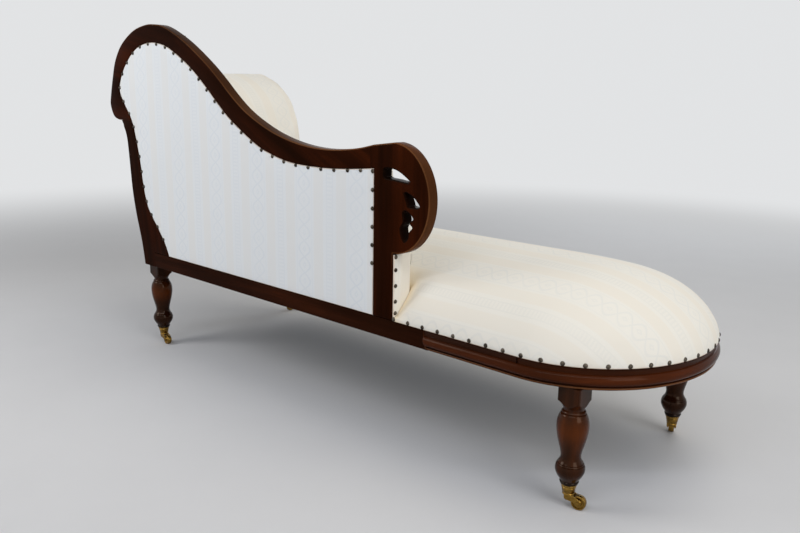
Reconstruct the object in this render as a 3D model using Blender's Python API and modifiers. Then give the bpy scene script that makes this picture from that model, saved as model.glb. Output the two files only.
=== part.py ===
"""Recamier: a Victorian mahogany chaise longue on brass castors, in metres, +Z up.

+X is the head end, -X the bowed foot end, +Y the show-wood back, -Y the front.
The origin is on the floor, under the middle of the whole object.
"""
import math

import bmesh
import bpy
from mathutils import Vector

# Whole piece
seat_depth = 0.574             # between the flat outer faces of the two long rails
straight_length = 1.380        # from the bow's start to the outer foot of the stile
bow_length = 0.257             # half ellipse that ends the seat at the foot
head_overhang = 0.156          # how far the crest's curl passes the foot of the stile
rail_underside = 0.2575
fit_gap = 0.0003               # between pieces that touch on the real object
cut_overrun = 0.020            # how far every cutter runs past what it cuts
weld_distance = 0.000001       # between points that are one and the same
turn_weld_distance = 0.00001

# Seat frame
rail_height = 0.0432
rail_thickness = 0.042
moulding_thickness = 0.014     # of the rail thickness, planted on the outer side
moulding_projection = 0.005    # of the bullnose beyond the flat face
plain_rail_length = 1.139      # of the back rail's flat face, stile foot to stopped moulding
bead_height = 0.0060
bullnose_bottom = 0.0075
bullnose_top = 0.0295
quirk_depth = 0.0035
brace_width = 0.045
brace_height = 0.034
middle_brace_share = 0.45      # place along the straight rails, from the bow's start
foot_brace_share = 0.03
corner_block_length = 0.060

# Back frame
board_thickness = 0.028
back_rise = 0.6633             # rail top to the top of the crest
post_width = 0.061
post_setback = 0.986           # post's head side to the outer foot of the stile
post_shoulder = 0.010          # of the post's top beyond its head side, where the crest rail joins
scroll_reach = 0.102           # scroll beyond the post's foot side
scroll_height = 0.240
scroll_base_rise = 0.1523      # rail top to the underside of the scroll
board_edge_radius = 0.0035
board_edge_steps = 1            # rounding steps beyond a plain chamfer
stile_lap_width = 0.059        # part of the stile that passes down beside the rail
back_brace_width = 0.045
foot_upright_share = 0.30      # places between the post and the stile's foot
head_upright_share = 0.64
panel_thickness = 0.008
panel_recess = 0.001
back_pad_thickness = 0.034
back_pad_overlap = 0.008       # pad onto the inner face of the boards
back_pad_crown = 0.012
return_thickness = 0.003       # fabric that wraps round the foot side of the post
return_depth = 0.0265           # across the board's edge, nearly to its outer face

# Head end
roll_reach = 0.295
roll_rise = 0.534
roll_foot_setback = 0.139      # pad's foot to the outer foot of the stile
facing_scroll_radius = 0.054
facing_scroll_height = 0.4613  # centre above the rail top
facing_scroll_reach = 0.088    # centre beyond the outer foot of the stile
roundel_radius = 0.042
roundel_rise = 0.005
head_panel_thickness = 0.008
head_rail_thickness = 0.028
head_rail_height = 0.045
stay_rail_rise = 0.030
roll_edge_radius = 0.014
roll_edge_steps = 2

# Seat cushion and what is under it
crown_rise = 0.1443
cushion_tuck_share = 0.985     # foot of the cushion's side, as a share of its widest line
cushion_end_reach = 0.044      # how far the cushion runs on past the roll pad's foot
webbing_width = 0.050
webbing_thickness = 0.002
long_strap_shares = (-0.50, 0.0, 0.50)   # places across the seat, of half the webbing's width
outer_strap_share = 0.70       # how far the outer long straps run into the bow
cross_straps = 8
cloth_thickness = 0.0015
cloth_margin = 0.012

# Legs
head_leg_setback = 0.0215
head_leg_inset = 0.039
foot_leg_advance = 0.1025      # beyond the bow's start
foot_leg_inset = 0.0535
leg_block = 0.048
leg_block_height = 0.0310
leg_block_edge = 0.004
leg_radius = 0.0315
spigot_radius = 0.008
spigot_height = 0.030
leg_steps = 16

# Castors
wheel_radius = 0.01525
wheel_width = 0.013
wheel_steps = 24
wheel_trail = 0.022            # axle behind the swivel
axle_radius = 0.003
axle_head_radius = 0.0042
axle_head_length = 0.0012
side_clearance = 0.0005        # wheel to each cheek
cheek_thickness = 0.0030
cheek_head_radius = 0.0065
cheek_foot_radius = 0.0060
plate_radius = 0.010
plate_thickness = 0.0024
pin_radius = 0.003
cup_base_height = 0.0288
cup_floor = 0.0057
cup_wall = 0.0014
cup_top_height = 0.0515
cup_top_radius = 0.0153
cup_base_radius = 0.0115
cup_bead = 0.0012
castor_steps = 16
trail_degrees = {"head_back": 176, "foot_back": 195, "head_front": 285, "foot_front": 293}

# Worked out from the sizes above
half_depth = seat_depth / 2
overall_length = moulding_projection + bow_length + straight_length + head_overhang
head_x = overall_length / 2
stile_foot_x = head_x - head_overhang
bow_x = stile_foot_x - straight_length
rail_top = rail_underside + rail_height
core_thickness = rail_thickness - moulding_thickness
inner_y = half_depth - rail_thickness
board_inner_y = half_depth - board_thickness
post_head_x = stile_foot_x - post_setback
post_foot_x = post_head_x - post_width
scroll_tip_x = post_foot_x - scroll_reach
back_length = head_x - scroll_tip_x
crest_top = rail_top + back_rise
moulding_stop_x = stile_foot_x - plain_rail_length
lap_x = stile_foot_x - stile_lap_width
roll_foot_x = stile_foot_x - roll_foot_setback
roll_tip_x = roll_foot_x + roll_reach
pad_face_y = board_inner_y - fit_gap - back_pad_thickness
plate_top = cup_base_height - fit_gap
axle_height = wheel_radius * math.cos(math.pi / wheel_steps)
cheek_inner = wheel_width / 2 + side_clearance
cheek_outer = cheek_inner + cheek_thickness

# Outlines as shares: of the back's length from the scroll's tip and of its rise above the rail
crest_outer_shares = (
    (0.125, 0.579), (0.172, 0.560), (0.241, 0.549), (0.313, 0.558), (0.387, 0.590), (0.457, 0.644),
    (0.508, 0.703), (0.586, 0.819), (0.674, 0.923), (0.749, 0.985), (0.794, 0.999), (0.833, 0.997),
    (0.882, 0.975), (0.934, 0.920), (0.966, 0.850), (0.983, 0.772), (0.996, 0.695), (0.9995, 0.652),
    (0.988, 0.606), (0.971, 0.590), (0.952, 0.587),
)
stile_outer_shares = (
    (0.936, 0.539), (0.929, 0.489), (0.924, 0.380), (0.919, 0.270), (0.908, 0.162), (0.890, 0.038),
)
frame_inner_shares = (
    (0.777, 0.000), (0.789, 0.047), (0.818, 0.118), (0.856, 0.204), (0.872, 0.302), (0.880, 0.402),
    (0.892, 0.501), (0.908, 0.591), (0.936, 0.659), (0.954, 0.717), (0.949, 0.759), (0.930, 0.815),
    (0.894, 0.876), (0.857, 0.911), (0.811, 0.925), (0.765, 0.916), (0.723, 0.888), (0.654, 0.816),
    (0.595, 0.730), (0.533, 0.635), (0.447, 0.542), (0.403, 0.512), (0.361, 0.493), (0.315, 0.484),
    (0.244, 0.483), (0.185, 0.490), (0.125, 0.502),
)
arch_joint_shares = ((0.701, 0.951), (0.723, 0.888))
piercing_shares = (
    ((0.100, 0.507), (0.078, 0.507), (0.058, 0.492), (0.041, 0.468), (0.060, 0.467), (0.078, 0.470),
     (0.100, 0.474), (0.102, 0.490)),
    ((0.055, 0.438), (0.040, 0.431), (0.028, 0.414), (0.021, 0.393), (0.045, 0.390), (0.049, 0.402),
     (0.053, 0.420)),
    ((0.052, 0.378), (0.043, 0.372), (0.034, 0.354), (0.042, 0.340), (0.036, 0.326), (0.043, 0.309),
     (0.045, 0.290), (0.053, 0.275), (0.060, 0.291), (0.063, 0.318), (0.056, 0.341), (0.058, 0.368)),
)
# Roll pad: shares of its reach from the pad's foot and of its rise above the rail
roll_shares = (
    (0.000, 0.000), (0.044, 0.148), (0.092, 0.317), (0.112, 0.485), (0.119, 0.611), (0.149, 0.701),
    (0.197, 0.764), (0.247, 0.817), (0.312, 0.863), (0.400, 0.905), (0.502, 0.942), (0.624, 0.968),
    (0.732, 0.987), (0.861, 0.998), (0.959, 0.972), (1.000, 0.912), (0.983, 0.841), (0.925, 0.781),
    (0.831, 0.757),
)
# Inner edge of the front facing, in the back frame's shares, from the seat up to its scroll
facing_inner_shares = (
    (0.777, 0.000), (0.789, 0.047), (0.818, 0.118), (0.849, 0.204), (0.862, 0.302), (0.869, 0.402),
    (0.878, 0.501), (0.892, 0.602), (0.906, 0.688),
)
# Foot end of the inside back pad, in the back frame's shares, from the rail up to the crest
pad_foot_shares = ((0.077, 0.190), (0.086, 0.250), (0.102, 0.320), (0.114, 0.395), (0.121, 0.465))
# Turned leg: depth below the rail and radius, as shares of the turned length and of leg_radius
leg_shares = (
    (0.060, 0.570), (0.150, 0.900), (0.175, 0.850), (0.205, 0.730), (0.234, 0.655), (0.250, 0.700),
    (0.268, 0.775), (0.300, 0.868), (0.345, 0.960), (0.405, 1.000), (0.460, 0.982), (0.539, 0.885),
    (0.617, 0.755), (0.675, 0.665), (0.710, 0.636), (0.742, 0.655), (0.770, 0.760), (0.800, 0.880),
    (0.842, 0.940), (0.885, 0.875), (0.925, 0.735), (0.957, 0.600), (0.978, 0.590), (1.000, 0.560),
)
# Wheel section: radius and half width, as shares of the wheel's own
wheel_shares = ((1.00, 0.70), (0.94, 0.97), (0.76, 0.97), (0.70, 0.60), (0.44, 0.60), (0.37, 1.00))
# Roundel from its middle out: radius and rise, as shares of roundel_radius and roundel_rise
roundel_shares = ((0.22, 0.85), (0.30, 0.45), (0.62, 0.40), (0.74, 0.90), (0.92, 0.80))


def clear_scene():
    """Remove the objects that a new file starts with."""
    for obj in list(bpy.data.objects):
        bpy.data.objects.remove(obj, do_unlink=True)


def new_collection(name, hidden=False):
    """Link a collection to the scene; one for cutters stays out of renders."""
    collection = bpy.data.collections.new(name)
    bpy.context.scene.collection.children.link(collection)
    collection.hide_render = hidden
    return collection


def material(name, colour, roughness, metallic=0.0):
    """Make a Principled material of one finish."""
    made = bpy.data.materials.new(name)
    made.use_nodes = True
    shader = made.node_tree.nodes["Principled BSDF"]
    shader.inputs["Base Color"].default_value = (*colour, 1.0)
    shader.inputs["Roughness"].default_value = roughness
    shader.inputs["Metallic"].default_value = metallic
    made.diffuse_color = (*colour, 1.0)
    return made


def place(name, data, finish, collection):
    """Make an object of a mesh or curve in a collection, in one finish."""
    obj = bpy.data.objects.new(name, data)
    collection.objects.link(obj)
    if finish:
        data.materials.append(finish)
    return obj


def mesh_from(bm, name, smooth_degrees=40):
    """Turn a bmesh into mesh data with outward faces and smooth rounds."""
    bmesh.ops.recalc_face_normals(bm, faces=bm.faces)
    data = bpy.data.meshes.new(name)
    bm.to_mesh(data)
    bm.free()
    data.shade_smooth()
    data.set_sharp_from_angle(angle=math.radians(smooth_degrees))
    return data


def box(name, low, high, finish, collection, edge=0.0):
    """A block between two corners, with its long edges eased."""
    bm = bmesh.new()
    bmesh.ops.create_cube(bm, size=1.0)
    for vert in bm.verts:
        for axis in range(3):
            middle = (low[axis] + high[axis]) / 2
            vert.co[axis] = middle + vert.co[axis] * (high[axis] - low[axis])
    obj = place(name, mesh_from(bm, name), finish, collection)
    if edge:
        ease(obj, edge)
    return obj


def ease(obj, width, segments=1):
    """Round the right-angled edges of a piece."""
    bevel = obj.modifiers.new("ease", "BEVEL")
    bevel.width = width
    bevel.segments = segments
    bevel.limit_method = "ANGLE"
    bevel.angle_limit = math.radians(60)
    return bevel


def combine(obj, other, operation):
    """Cut, join or intersect a piece with another by an exact Boolean."""
    step = obj.modifiers.new(operation.lower(), "BOOLEAN")
    step.operation = operation
    step.solver = "EXACT"
    step.object = other
    return step


def as_guide(obj):
    """Show a cutter or guide as a wire that never renders."""
    obj.hide_render = True
    obj.display_type = "WIRE"
    return obj


def smooth(points, steps=3):
    """Sample a Catmull-Rom curve through the points, end points included."""
    knots = [Vector(p) for p in points]
    ends = [2 * knots[0] - knots[1]] + knots + [2 * knots[-1] - knots[-2]]
    samples = []
    for a, b, c, d in zip(ends, ends[1:], ends[2:], ends[3:]):
        for step in range(steps):
            t = step / steps
            samples.append(0.5 * (2 * b + (c - a) * t + (2 * a - 5 * b + 4 * c - d) * t * t
                                  + (3 * b - a - 3 * c + d) * t ** 3))
    samples.append(knots[-1])
    return [tuple(s) for s in samples]


def smooth_loop(points, steps=3):
    """Sample a closed Catmull-Rom curve through the points."""
    count = len(points)
    wrapped = [points[i % count] for i in range(-1, count + 2)]
    return smooth(wrapped, steps)[steps:-steps - 1]


def arc(centre, radii, start, stop, steps):
    """Points of an elliptical arc between two angles in degrees, both ends included."""
    angles = [math.radians(start + (stop - start) * i / steps) for i in range(steps + 1)]
    return [(centre[0] + radii[0] * math.cos(a), centre[1] + radii[1] * math.sin(a)) for a in angles]


def offset(points, distance):
    """Move a closed counter-clockwise outline inwards by a distance."""
    moved = []
    for before, here, after in zip(points[-1:] + points[:-1], points, points[1:] + points[:1]):
        along = [(Vector(b) - Vector(a)).normalized() for a, b in ((before, here), (here, after))]
        normals = [Vector((-d.y, d.x)) for d in along]
        mean = (normals[0] + normals[1]).normalized()
        reach = distance / max(mean.dot(normals[0]), 0.5)
        moved.append((here[0] + mean.x * reach, here[1] + mean.y * reach))
    return moved


def flat_curve(name, outlines, thickness, edge=0.0, edge_steps=0):
    """A filled flat curve with an extrude of half its thickness, its rims rounded within its outline."""
    curve = bpy.data.curves.new(name, "CURVE")
    curve.dimensions = "2D"
    curve.fill_mode = "BOTH"
    curve.extrude = thickness / 2 - edge
    curve.offset = -edge
    curve.bevel_depth = edge
    curve.bevel_resolution = edge_steps
    for outline in outlines:
        spline = curve.splines.new("POLY")
        spline.points.add(len(outline) - 1)
        for point, place_2d in zip(spline.points, outline):
            point.co = (*place_2d, 0.0, 1.0)
        spline.use_cyclic_u = True
    return curve


def curve_to_mesh(obj):
    """Replace a curve object by a welded mesh object in the same place."""
    bpy.context.view_layer.update()
    evaluated = obj.evaluated_get(bpy.context.evaluated_depsgraph_get())
    data = bpy.data.meshes.new_from_object(evaluated)
    bm = bmesh.new()
    bm.from_mesh(data)
    bmesh.ops.remove_doubles(bm, verts=bm.verts, dist=weld_distance)
    bmesh.ops.recalc_face_normals(bm, faces=bm.faces)
    bm.to_mesh(data)
    bm.free()
    data.shade_smooth()
    data.set_sharp_from_angle(angle=math.radians(40))
    name = obj.name
    made = bpy.data.objects.new(name + "_mesh", data)
    made.matrix_world = obj.matrix_world
    for collection in obj.users_collection:
        collection.objects.link(made)
    bpy.data.objects.remove(obj, do_unlink=True)
    made.name = name
    return made


def upright_board(name, outlines, y_low, y_high, finish, collection, edge=0.0, edge_steps=0):
    """A board cut to outlines in X and Z, between two planes of Y."""
    curve = flat_curve(name, outlines, y_high - y_low, edge, edge_steps)
    obj = place(name, curve, finish, collection)
    obj.rotation_euler.x = math.pi / 2
    obj.location.y = (y_low + y_high) / 2
    return curve_to_mesh(obj)


def level_board(name, outlines, z_low, z_high, finish, collection):
    """A board cut to outlines in X and Y, between two heights."""
    obj = place(name, flat_curve(name, outlines, z_high - z_low), finish, collection)
    obj.location.z = (z_low + z_high) / 2
    return curve_to_mesh(obj)


def swept(name, section, path, finish, collection):
    """A section (outwards, up) carried level along a path that keeps the seat on one side."""
    profile = bpy.data.curves.new(name + "_section", "CURVE")
    profile.dimensions = "2D"
    spline = profile.splines.new("POLY")
    spline.points.add(len(section) - 1)
    for point, place_2d in zip(spline.points, section):
        point.co = (*place_2d, 0.0, 1.0)
    spline.use_cyclic_u = True
    guide = place(name + "_section", profile, None, collection)
    curve = bpy.data.curves.new(name, "CURVE")
    curve.dimensions = "3D"
    curve.twist_mode = "Z_UP"
    curve.bevel_mode = "OBJECT"
    curve.bevel_object = guide
    curve.use_fill_caps = True
    spline = curve.splines.new("POLY")
    spline.points.add(len(path) - 1)
    for point, place_2d in zip(spline.points, path):
        point.co = (*place_2d, rail_underside, 1.0)
    made = curve_to_mesh(place(name, curve, finish, collection))
    bpy.data.objects.remove(guide, do_unlink=True)
    return made


def turned(name, profile, steps, finish, collection, closed=False):
    """A profile (radius, height), top to bottom on its outer side, turned about Z."""
    bm = bmesh.new()
    verts = [bm.verts.new((radius, 0.0, height)) for radius, height in profile]
    pairs = list(zip(verts, verts[1:]))
    if closed:
        pairs.append((verts[-1], verts[0]))
    for pair in pairs:
        bm.edges.new(pair)
    data = bpy.data.meshes.new(name)
    bm.to_mesh(data)
    bm.free()
    obj = place(name, data, finish, collection)
    screw = obj.modifiers.new("turn", "SCREW")
    screw.axis = "Z"
    screw.steps = steps
    screw.render_steps = steps
    screw.use_merge_vertices = True
    screw.merge_threshold = turn_weld_distance
    screw.use_smooth_shade = True
    return obj


def rod(name, radius, low, high, steps, finish, collection):
    """A round rod about Z between two heights."""
    bm = bmesh.new()
    bmesh.ops.create_cone(bm, cap_ends=True, segments=steps, radius1=radius, radius2=radius,
                          depth=high - low)
    bmesh.ops.translate(bm, verts=bm.verts, vec=(0.0, 0.0, (low + high) / 2))
    return place(name, mesh_from(bm, name), finish, collection)


def on_back(shares):
    """Places (X, Z) on the back frame from shares of its length and rise."""
    return [(scroll_tip_x + s * back_length, rail_top + h * back_rise) for s, h in shares]


def bow_path(steps=24):
    """Flat-face line of the bow from the back to the front, with a straight overrun at each end."""
    bow = arc((bow_x, 0.0), (bow_length, half_depth), 90, 270, steps)
    straight = bow_x + cut_overrun
    return [(straight, half_depth)] + bow + [(straight, -half_depth)]


def bow_width(x, inset=0.0):
    """Half width of the seat at a place along its length, less an inset."""
    if x >= bow_x:
        return half_depth - inset
    reach = (bow_x - x) / (bow_length - inset)
    return (half_depth - inset) * math.sqrt(max(1 - reach * reach, 0.0))


def half_round(low, high, depth, steps):
    """Heights and bulges of a half round between two heights."""
    middle = (low + high) / 2
    rise = (high - low) / 2
    angles = [math.pi * (i / steps - 0.5) for i in range(steps + 1)]
    return [(depth * math.cos(a), middle + rise * math.sin(a)) for a in angles]


def moulding_section():
    """Planted moulding: bead, bullnose and hollow fillet, outwards from the rail's core."""
    back = fit_gap - moulding_thickness
    quirk = -quirk_depth
    bead = [(quirk + d, z) for d, z in half_round(0.0, bead_height, quirk_depth, 4)]
    nose_depth = moulding_projection + quirk_depth
    nose = [(quirk + d, z) for d, z in half_round(bullnose_bottom, bullnose_top, nose_depth, 6)]
    fillet = [(quirk, bullnose_top + quirk_depth), (0.0, rail_height)]
    return [(back, 0.0)] + bead + nose + fillet + [(back, rail_height)]


def core_section():
    """Rail behind the moulding, outwards from the flat-face line."""
    outer = -moulding_thickness
    inner = -rail_thickness
    return [(inner, 0.0), (outer, 0.0), (outer, rail_height), (inner, rail_height)]


def make_seat_rails(wood, parts, cutters):
    """Straight rails, three bow segments and the head rail."""
    outer = half_depth - moulding_thickness
    outline = [(bow_x, inner_y), (lap_x - fit_gap, inner_y), (lap_x - fit_gap, half_depth),
               (moulding_stop_x + fit_gap, half_depth), (moulding_stop_x + fit_gap, outer),
               (bow_x, outer)]
    level_board("seat_rail_back", [outline], rail_underside, rail_top, wood, parts)
    swept("seat_rail_front", core_section(), [(bow_x, -half_depth), (lap_x - fit_gap, -half_depth)],
          wood, parts)
    reach = bow_length + half_depth
    joint = math.degrees(fit_gap / bow_length)
    for name, start, stop in (("bow_rail_back", 90, 135), ("bow_rail_tip", 135, 225),
                              ("bow_rail_front", 225, 270)):
        segment = swept(name, core_section(), bow_path(), wood, parts)
        sector = [(bow_x, 0.0)] + arc((bow_x, 0.0), (reach, reach), start + joint / 2,
                                      stop - joint / 2, 4)
        cutter = level_board(name + "_sector", [sector], rail_underside - cut_overrun,
                             rail_top + cut_overrun, None, cutters)
        combine(segment, as_guide(cutter), "INTERSECT")
    inner_x = stile_foot_x - rail_thickness
    return box("seat_rail_head", (inner_x, fit_gap - board_inner_y, rail_underside),
               (stile_foot_x, board_inner_y - fit_gap, rail_top), wood, parts)


def make_mouldings(wood, parts, cutters):
    """Planted moulding: stopped on the back rail, round the bow and along the front."""
    section = moulding_section()
    swept("rail_moulding_back", section, [(moulding_stop_x, half_depth), (bow_x, half_depth)],
          wood, parts)
    bow = swept("rail_moulding_bow", section, bow_path(), wood, parts)
    reach = bow_length + half_depth
    bow_side = box("bow_side", (bow_x - reach, -reach, rail_underside - cut_overrun),
                   (bow_x - fit_gap, reach, rail_top + cut_overrun), None, cutters)
    combine(bow, as_guide(bow_side), "INTERSECT")
    swept("rail_moulding_front", section, [(bow_x, -half_depth), (lap_x - fit_gap, -half_depth)],
          wood, parts)


def make_braces(wood, parts):
    """Cross braces between the long rails and glue blocks in the head corners."""
    reach = inner_y - fit_gap
    middle = (rail_underside + rail_top) / 2
    for name, share in (("seat_brace_middle", middle_brace_share),
                        ("seat_brace_foot", foot_brace_share)):
        x = bow_x + share * straight_length
        box(name, (x, -reach, middle - brace_height / 2),
            (x + brace_width, reach, middle + brace_height / 2), wood, parts)
    corner_x = stile_foot_x - rail_thickness - fit_gap
    for name, side in (("corner_block_back", 1), ("corner_block_front", -1)):
        y = side * reach
        outline = [(corner_x, y), (corner_x - corner_block_length, y),
                   (corner_x, y - side * corner_block_length)]
        level_board(name, [outline], middle - brace_height / 2, middle + brace_height / 2,
                    wood, parts)


def make_webbing(finish, parts):
    """Interlaced straps under the rails, in one flat net."""
    half = webbing_width / 2
    reach = inner_y + core_thickness / 2
    head_end = stile_foot_x - rail_thickness / 2
    long_centres = [reach * share for share in long_strap_shares]
    foot_end = bow_x - bow_length * outer_strap_share
    first = bow_x - foot_leg_advance + leg_block / 2 + webbing_width
    last = head_end - leg_block - webbing_width
    pitch = (last - first) / (cross_straps - 1)
    cross_centres = [first + pitch * i for i in range(cross_straps)]
    tip_end = bow_x - bow_length + rail_thickness
    xs = sorted({tip_end, foot_end, head_end}
                | {c + s * half for c in cross_centres for s in (-1, 1)})
    side = bow_width(first - half, moulding_thickness * 2)
    ys = sorted({c + s * half for c in long_centres for s in (-1, 1)} | {-reach, reach, -side, side})

    def kept(x, y):
        lengthwise = [c for c in long_centres if abs(y - c) < half]
        if lengthwise:
            return x > (tip_end if abs(lengthwise[0]) < half else foot_end)
        width = side if abs(x - first) < half else reach
        return abs(y) < width and any(abs(x - c) < half for c in cross_centres)

    bm = bmesh.new()
    corners = [[bm.verts.new((x, y, 0.0)) for y in ys] for x in xs]
    for i in range(len(xs) - 1):
        for j in range(len(ys) - 1):
            if kept((xs[i] + xs[i + 1]) / 2, (ys[j] + ys[j + 1]) / 2):
                bm.faces.new((corners[i][j], corners[i + 1][j], corners[i + 1][j + 1],
                              corners[i][j + 1]))
    loose = [v for v in bm.verts if not v.link_faces]
    bmesh.ops.delete(bm, geom=loose, context="VERTS")
    obj = place("seat_webbing", mesh_from(bm, "seat_webbing"), finish, parts)
    obj.location.z = rail_underside - fit_gap
    solid = obj.modifiers.new("weave", "SOLIDIFY")
    solid.thickness = webbing_thickness
    solid.offset = -1.0


def leg_places():
    """Axis of each leg, by name."""
    head = (stile_foot_x - head_leg_setback, half_depth - head_leg_inset)
    foot = (bow_x - foot_leg_advance, half_depth - foot_leg_inset)
    return {"head_back": head, "head_front": (head[0], -head[1]),
            "foot_back": foot, "foot_front": (foot[0], -foot[1])}


def make_bottom_cloth(finish, parts, cutters):
    """Dust cloth under the webbing, cut out round the leg blocks."""
    inset = cloth_margin
    bow = arc((bow_x, 0.0), (bow_length - inset, half_depth - inset), 90, 270, 20)
    outline = bow + [(stile_foot_x - inset, inset - half_depth), (stile_foot_x - inset, half_depth - inset)]
    top = rail_underside - webbing_thickness - 2 * fit_gap
    cloth = level_board("bottom_cloth", [outline], top - cloth_thickness, top, finish, parts)
    notch = leg_block / 2 + fit_gap
    for name, (x, y) in leg_places().items():
        outward = math.copysign(cut_overrun, y)
        low_y, high_y = sorted((y - math.copysign(notch, y), y + math.copysign(notch, y) + outward))
        past = cut_overrun if name.startswith("head") else 0.0
        cutter = box(name + "_notch", (x - notch, low_y, top - cut_overrun),
                     (x + notch + past, high_y, top + cut_overrun), None, cutters)
        combine(cloth, as_guide(cutter), "DIFFERENCE")


def frame_inner_line():
    """Inner edge of the back frame, from the stile's foot up and over to the post's head side."""
    inner = smooth(on_back(frame_inner_shares), 2)
    return inner[:-1] + [(post_head_x, inner[-1][1])]


def back_frame_outline():
    """Closed outline of the whole back frame, run on past its feet."""
    outer = smooth(on_back(crest_outer_shares))
    inner = frame_inner_line()
    centre = (post_foot_x, rail_top + scroll_base_rise + scroll_height / 2)
    scroll = arc(centre, (scroll_reach, scroll_height / 2), 270, 90, 20)
    below = rail_underside - cut_overrun
    foot = [(stile_foot_x, below), (inner[0][0], below)]
    post = [(post_head_x, below), (post_foot_x, below)]
    return outer + stile_line()[1:] + foot + inner + post + scroll


def stile_foot_region(low_x, high_z):
    """Side view of the space of a stile that stands on the rail and laps down beside its end."""
    base = rail_top + fit_gap
    right = head_x + cut_overrun
    return [(low_x, base), (lap_x, base), (lap_x, rail_underside), (right, rail_underside),
            (right, high_z), (low_x, high_z)]


def opening_outline():
    """Opening inside the back frame, counter-clockwise, closed by the rail's top."""
    return frame_inner_line() + [(post_head_x, rail_top)]


def make_back_frame(wood, parts, cutters):
    """Post with its pierced scroll, crest in two lengths and stile, cut from one outline."""
    outline = back_frame_outline()
    (outer_joint, inner_joint) = on_back(arch_joint_shares)
    joint = (Vector(outer_joint) - Vector(inner_joint)).normalized() * (2 * board_thickness)
    top = Vector(outer_joint) + joint
    bottom = Vector(inner_joint) - joint
    half = fit_gap / 2
    stile_joint = on_back(crest_outer_shares[-1:])[0][1]
    above = crest_top + cut_overrun
    base = rail_top + fit_gap
    right = head_x + cut_overrun
    shoulder_x = post_head_x + post_shoulder
    regions = {
        "back_scroll_post": [(scroll_tip_x - cut_overrun, base), (shoulder_x - half, base),
                             (shoulder_x - half, above), (scroll_tip_x - cut_overrun, above)],
        "crest_rail": [(shoulder_x + half, rail_top), (bottom.x - half, rail_top),
                       (bottom.x - half, bottom.y), (top.x - half, top.y), (top.x - half, above),
                       (shoulder_x + half, above)],
        "crest_arch": [(bottom.x + half, stile_joint + half), (right, stile_joint + half),
                       (right, above), (top.x + half, above), (top.x + half, top.y),
                       (bottom.x + half, bottom.y)],
        "back_stile": stile_foot_region(bottom.x + half, stile_joint - half),
    }
    for name, region in regions.items():
        member = upright_board(name, [outline], board_inner_y, half_depth, wood, parts,
                               board_edge_radius, board_edge_steps)
        cutter = upright_board(name + "_region", [region], board_inner_y - cut_overrun,
                               half_depth + cut_overrun, None, cutters)
        combine(member, as_guide(cutter), "INTERSECT")
    for number, hole in enumerate(piercing_shares):
        cutter = upright_board(f"piercing_{number}", [smooth_loop(on_back(hole))],
                               board_inner_y - cut_overrun, half_depth + cut_overrun, None, cutters)
        combine(parts.objects["back_scroll_post"], as_guide(cutter), "DIFFERENCE")


def make_back_panel(fabric, wood, parts, cutters):
    """Fabric-covered outside panel and the two uprights behind it, seated in the opening."""
    seated = offset(opening_outline(), fit_gap)
    outer = half_depth - panel_recess
    panel_back = outer - panel_thickness
    upright_board("outside_back_panel", [seated], panel_back, outer, fabric, parts)
    guide = upright_board("opening_guide", [seated], board_inner_y - cut_overrun,
                          half_depth + cut_overrun, None, cutters)
    as_guide(guide)
    length = stile_foot_x - post_head_x
    for name, share in (("back_brace_foot", foot_upright_share),
                        ("back_brace_head", head_upright_share)):
        x = post_head_x + share * length
        brace = box(name, (x, board_inner_y, rail_underside), (x + back_brace_width,
                    panel_back - fit_gap, crest_top), wood, parts)
        combine(brace, guide, "INTERSECT")


def crown(bm, face, total_width, total_height, steps=3):
    """Raise a flat face in rounded steps inwards from its border."""
    before = (0.0, 0.0)
    for step in range(1, steps + 1):
        angle = math.pi / 2 * step / steps
        now = (total_width * (1 - math.cos(angle)), total_height * math.sin(angle))
        bmesh.ops.inset_region(bm, faces=[face], thickness=now[0] - before[0],
                               depth=now[1] - before[1], use_even_offset=True)
        before = now


def make_back_pad(fabric, parts, cutters):
    """Inside back pad: a crowned slab over the opening that wraps the post's foot side."""
    wide = offset(frame_inner_line(), -back_pad_overlap)
    foot_x = post_foot_x - return_thickness
    base = rail_top + fit_gap
    foot = smooth(on_back(pad_foot_shares), 2)[::-1]
    wide[0] = (wide[0][0], base)
    outline = wide[:-1] + foot + [(foot_x, foot[-1][1] - return_thickness), (foot_x, base)]
    bm = bmesh.new()
    side = back_pad_thickness - back_pad_crown
    verts = [bm.verts.new((x, board_inner_y - fit_gap, z)) for x, z in outline]
    face = bm.faces.new(verts)
    ring = bmesh.ops.extrude_face_region(bm, geom=[face])
    moved = [item for item in ring["geom"] if isinstance(item, bmesh.types.BMVert)]
    bmesh.ops.translate(bm, verts=moved, vec=(0.0, -side, 0.0))
    front = [item for item in ring["geom"] if isinstance(item, bmesh.types.BMFace)][0]
    bmesh.ops.recalc_face_normals(bm, faces=bm.faces)
    crown(bm, front, 2 * back_pad_crown, back_pad_crown)
    pad = place("inside_back_pad", mesh_from(bm, "inside_back_pad"), fabric, parts)
    lip_top = rail_top + scroll_base_rise - return_thickness
    lip = box("return_lip", (foot_x, board_inner_y - side, base),
              (post_foot_x - fit_gap, board_inner_y + return_depth, lip_top), None, cutters)
    combine(pad, as_guide(lip), "UNION")


def stile_line():
    """Outer edge of the head end, from the crest's joint down to the floor side of the rail."""
    knots = on_back(crest_outer_shares[-1:] + stile_outer_shares)
    return smooth(knots + [(stile_foot_x, rail_underside)], 2)


def head_line(height):
    """X of the head end's outer face at a height."""
    points = stile_line()
    for (x1, z1), (x0, z0) in zip(points, points[1:]):
        if z0 <= height <= z1:
            return x0 + (x1 - x0) * (height - z0) / (z1 - z0)
    return points[0][0]


def head_levels(low, high):
    """Heights between two levels at which the head end's line bends, both levels included."""
    return [low] + [z for x, z in reversed(stile_line()) if low < z < high] + [high]


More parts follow.
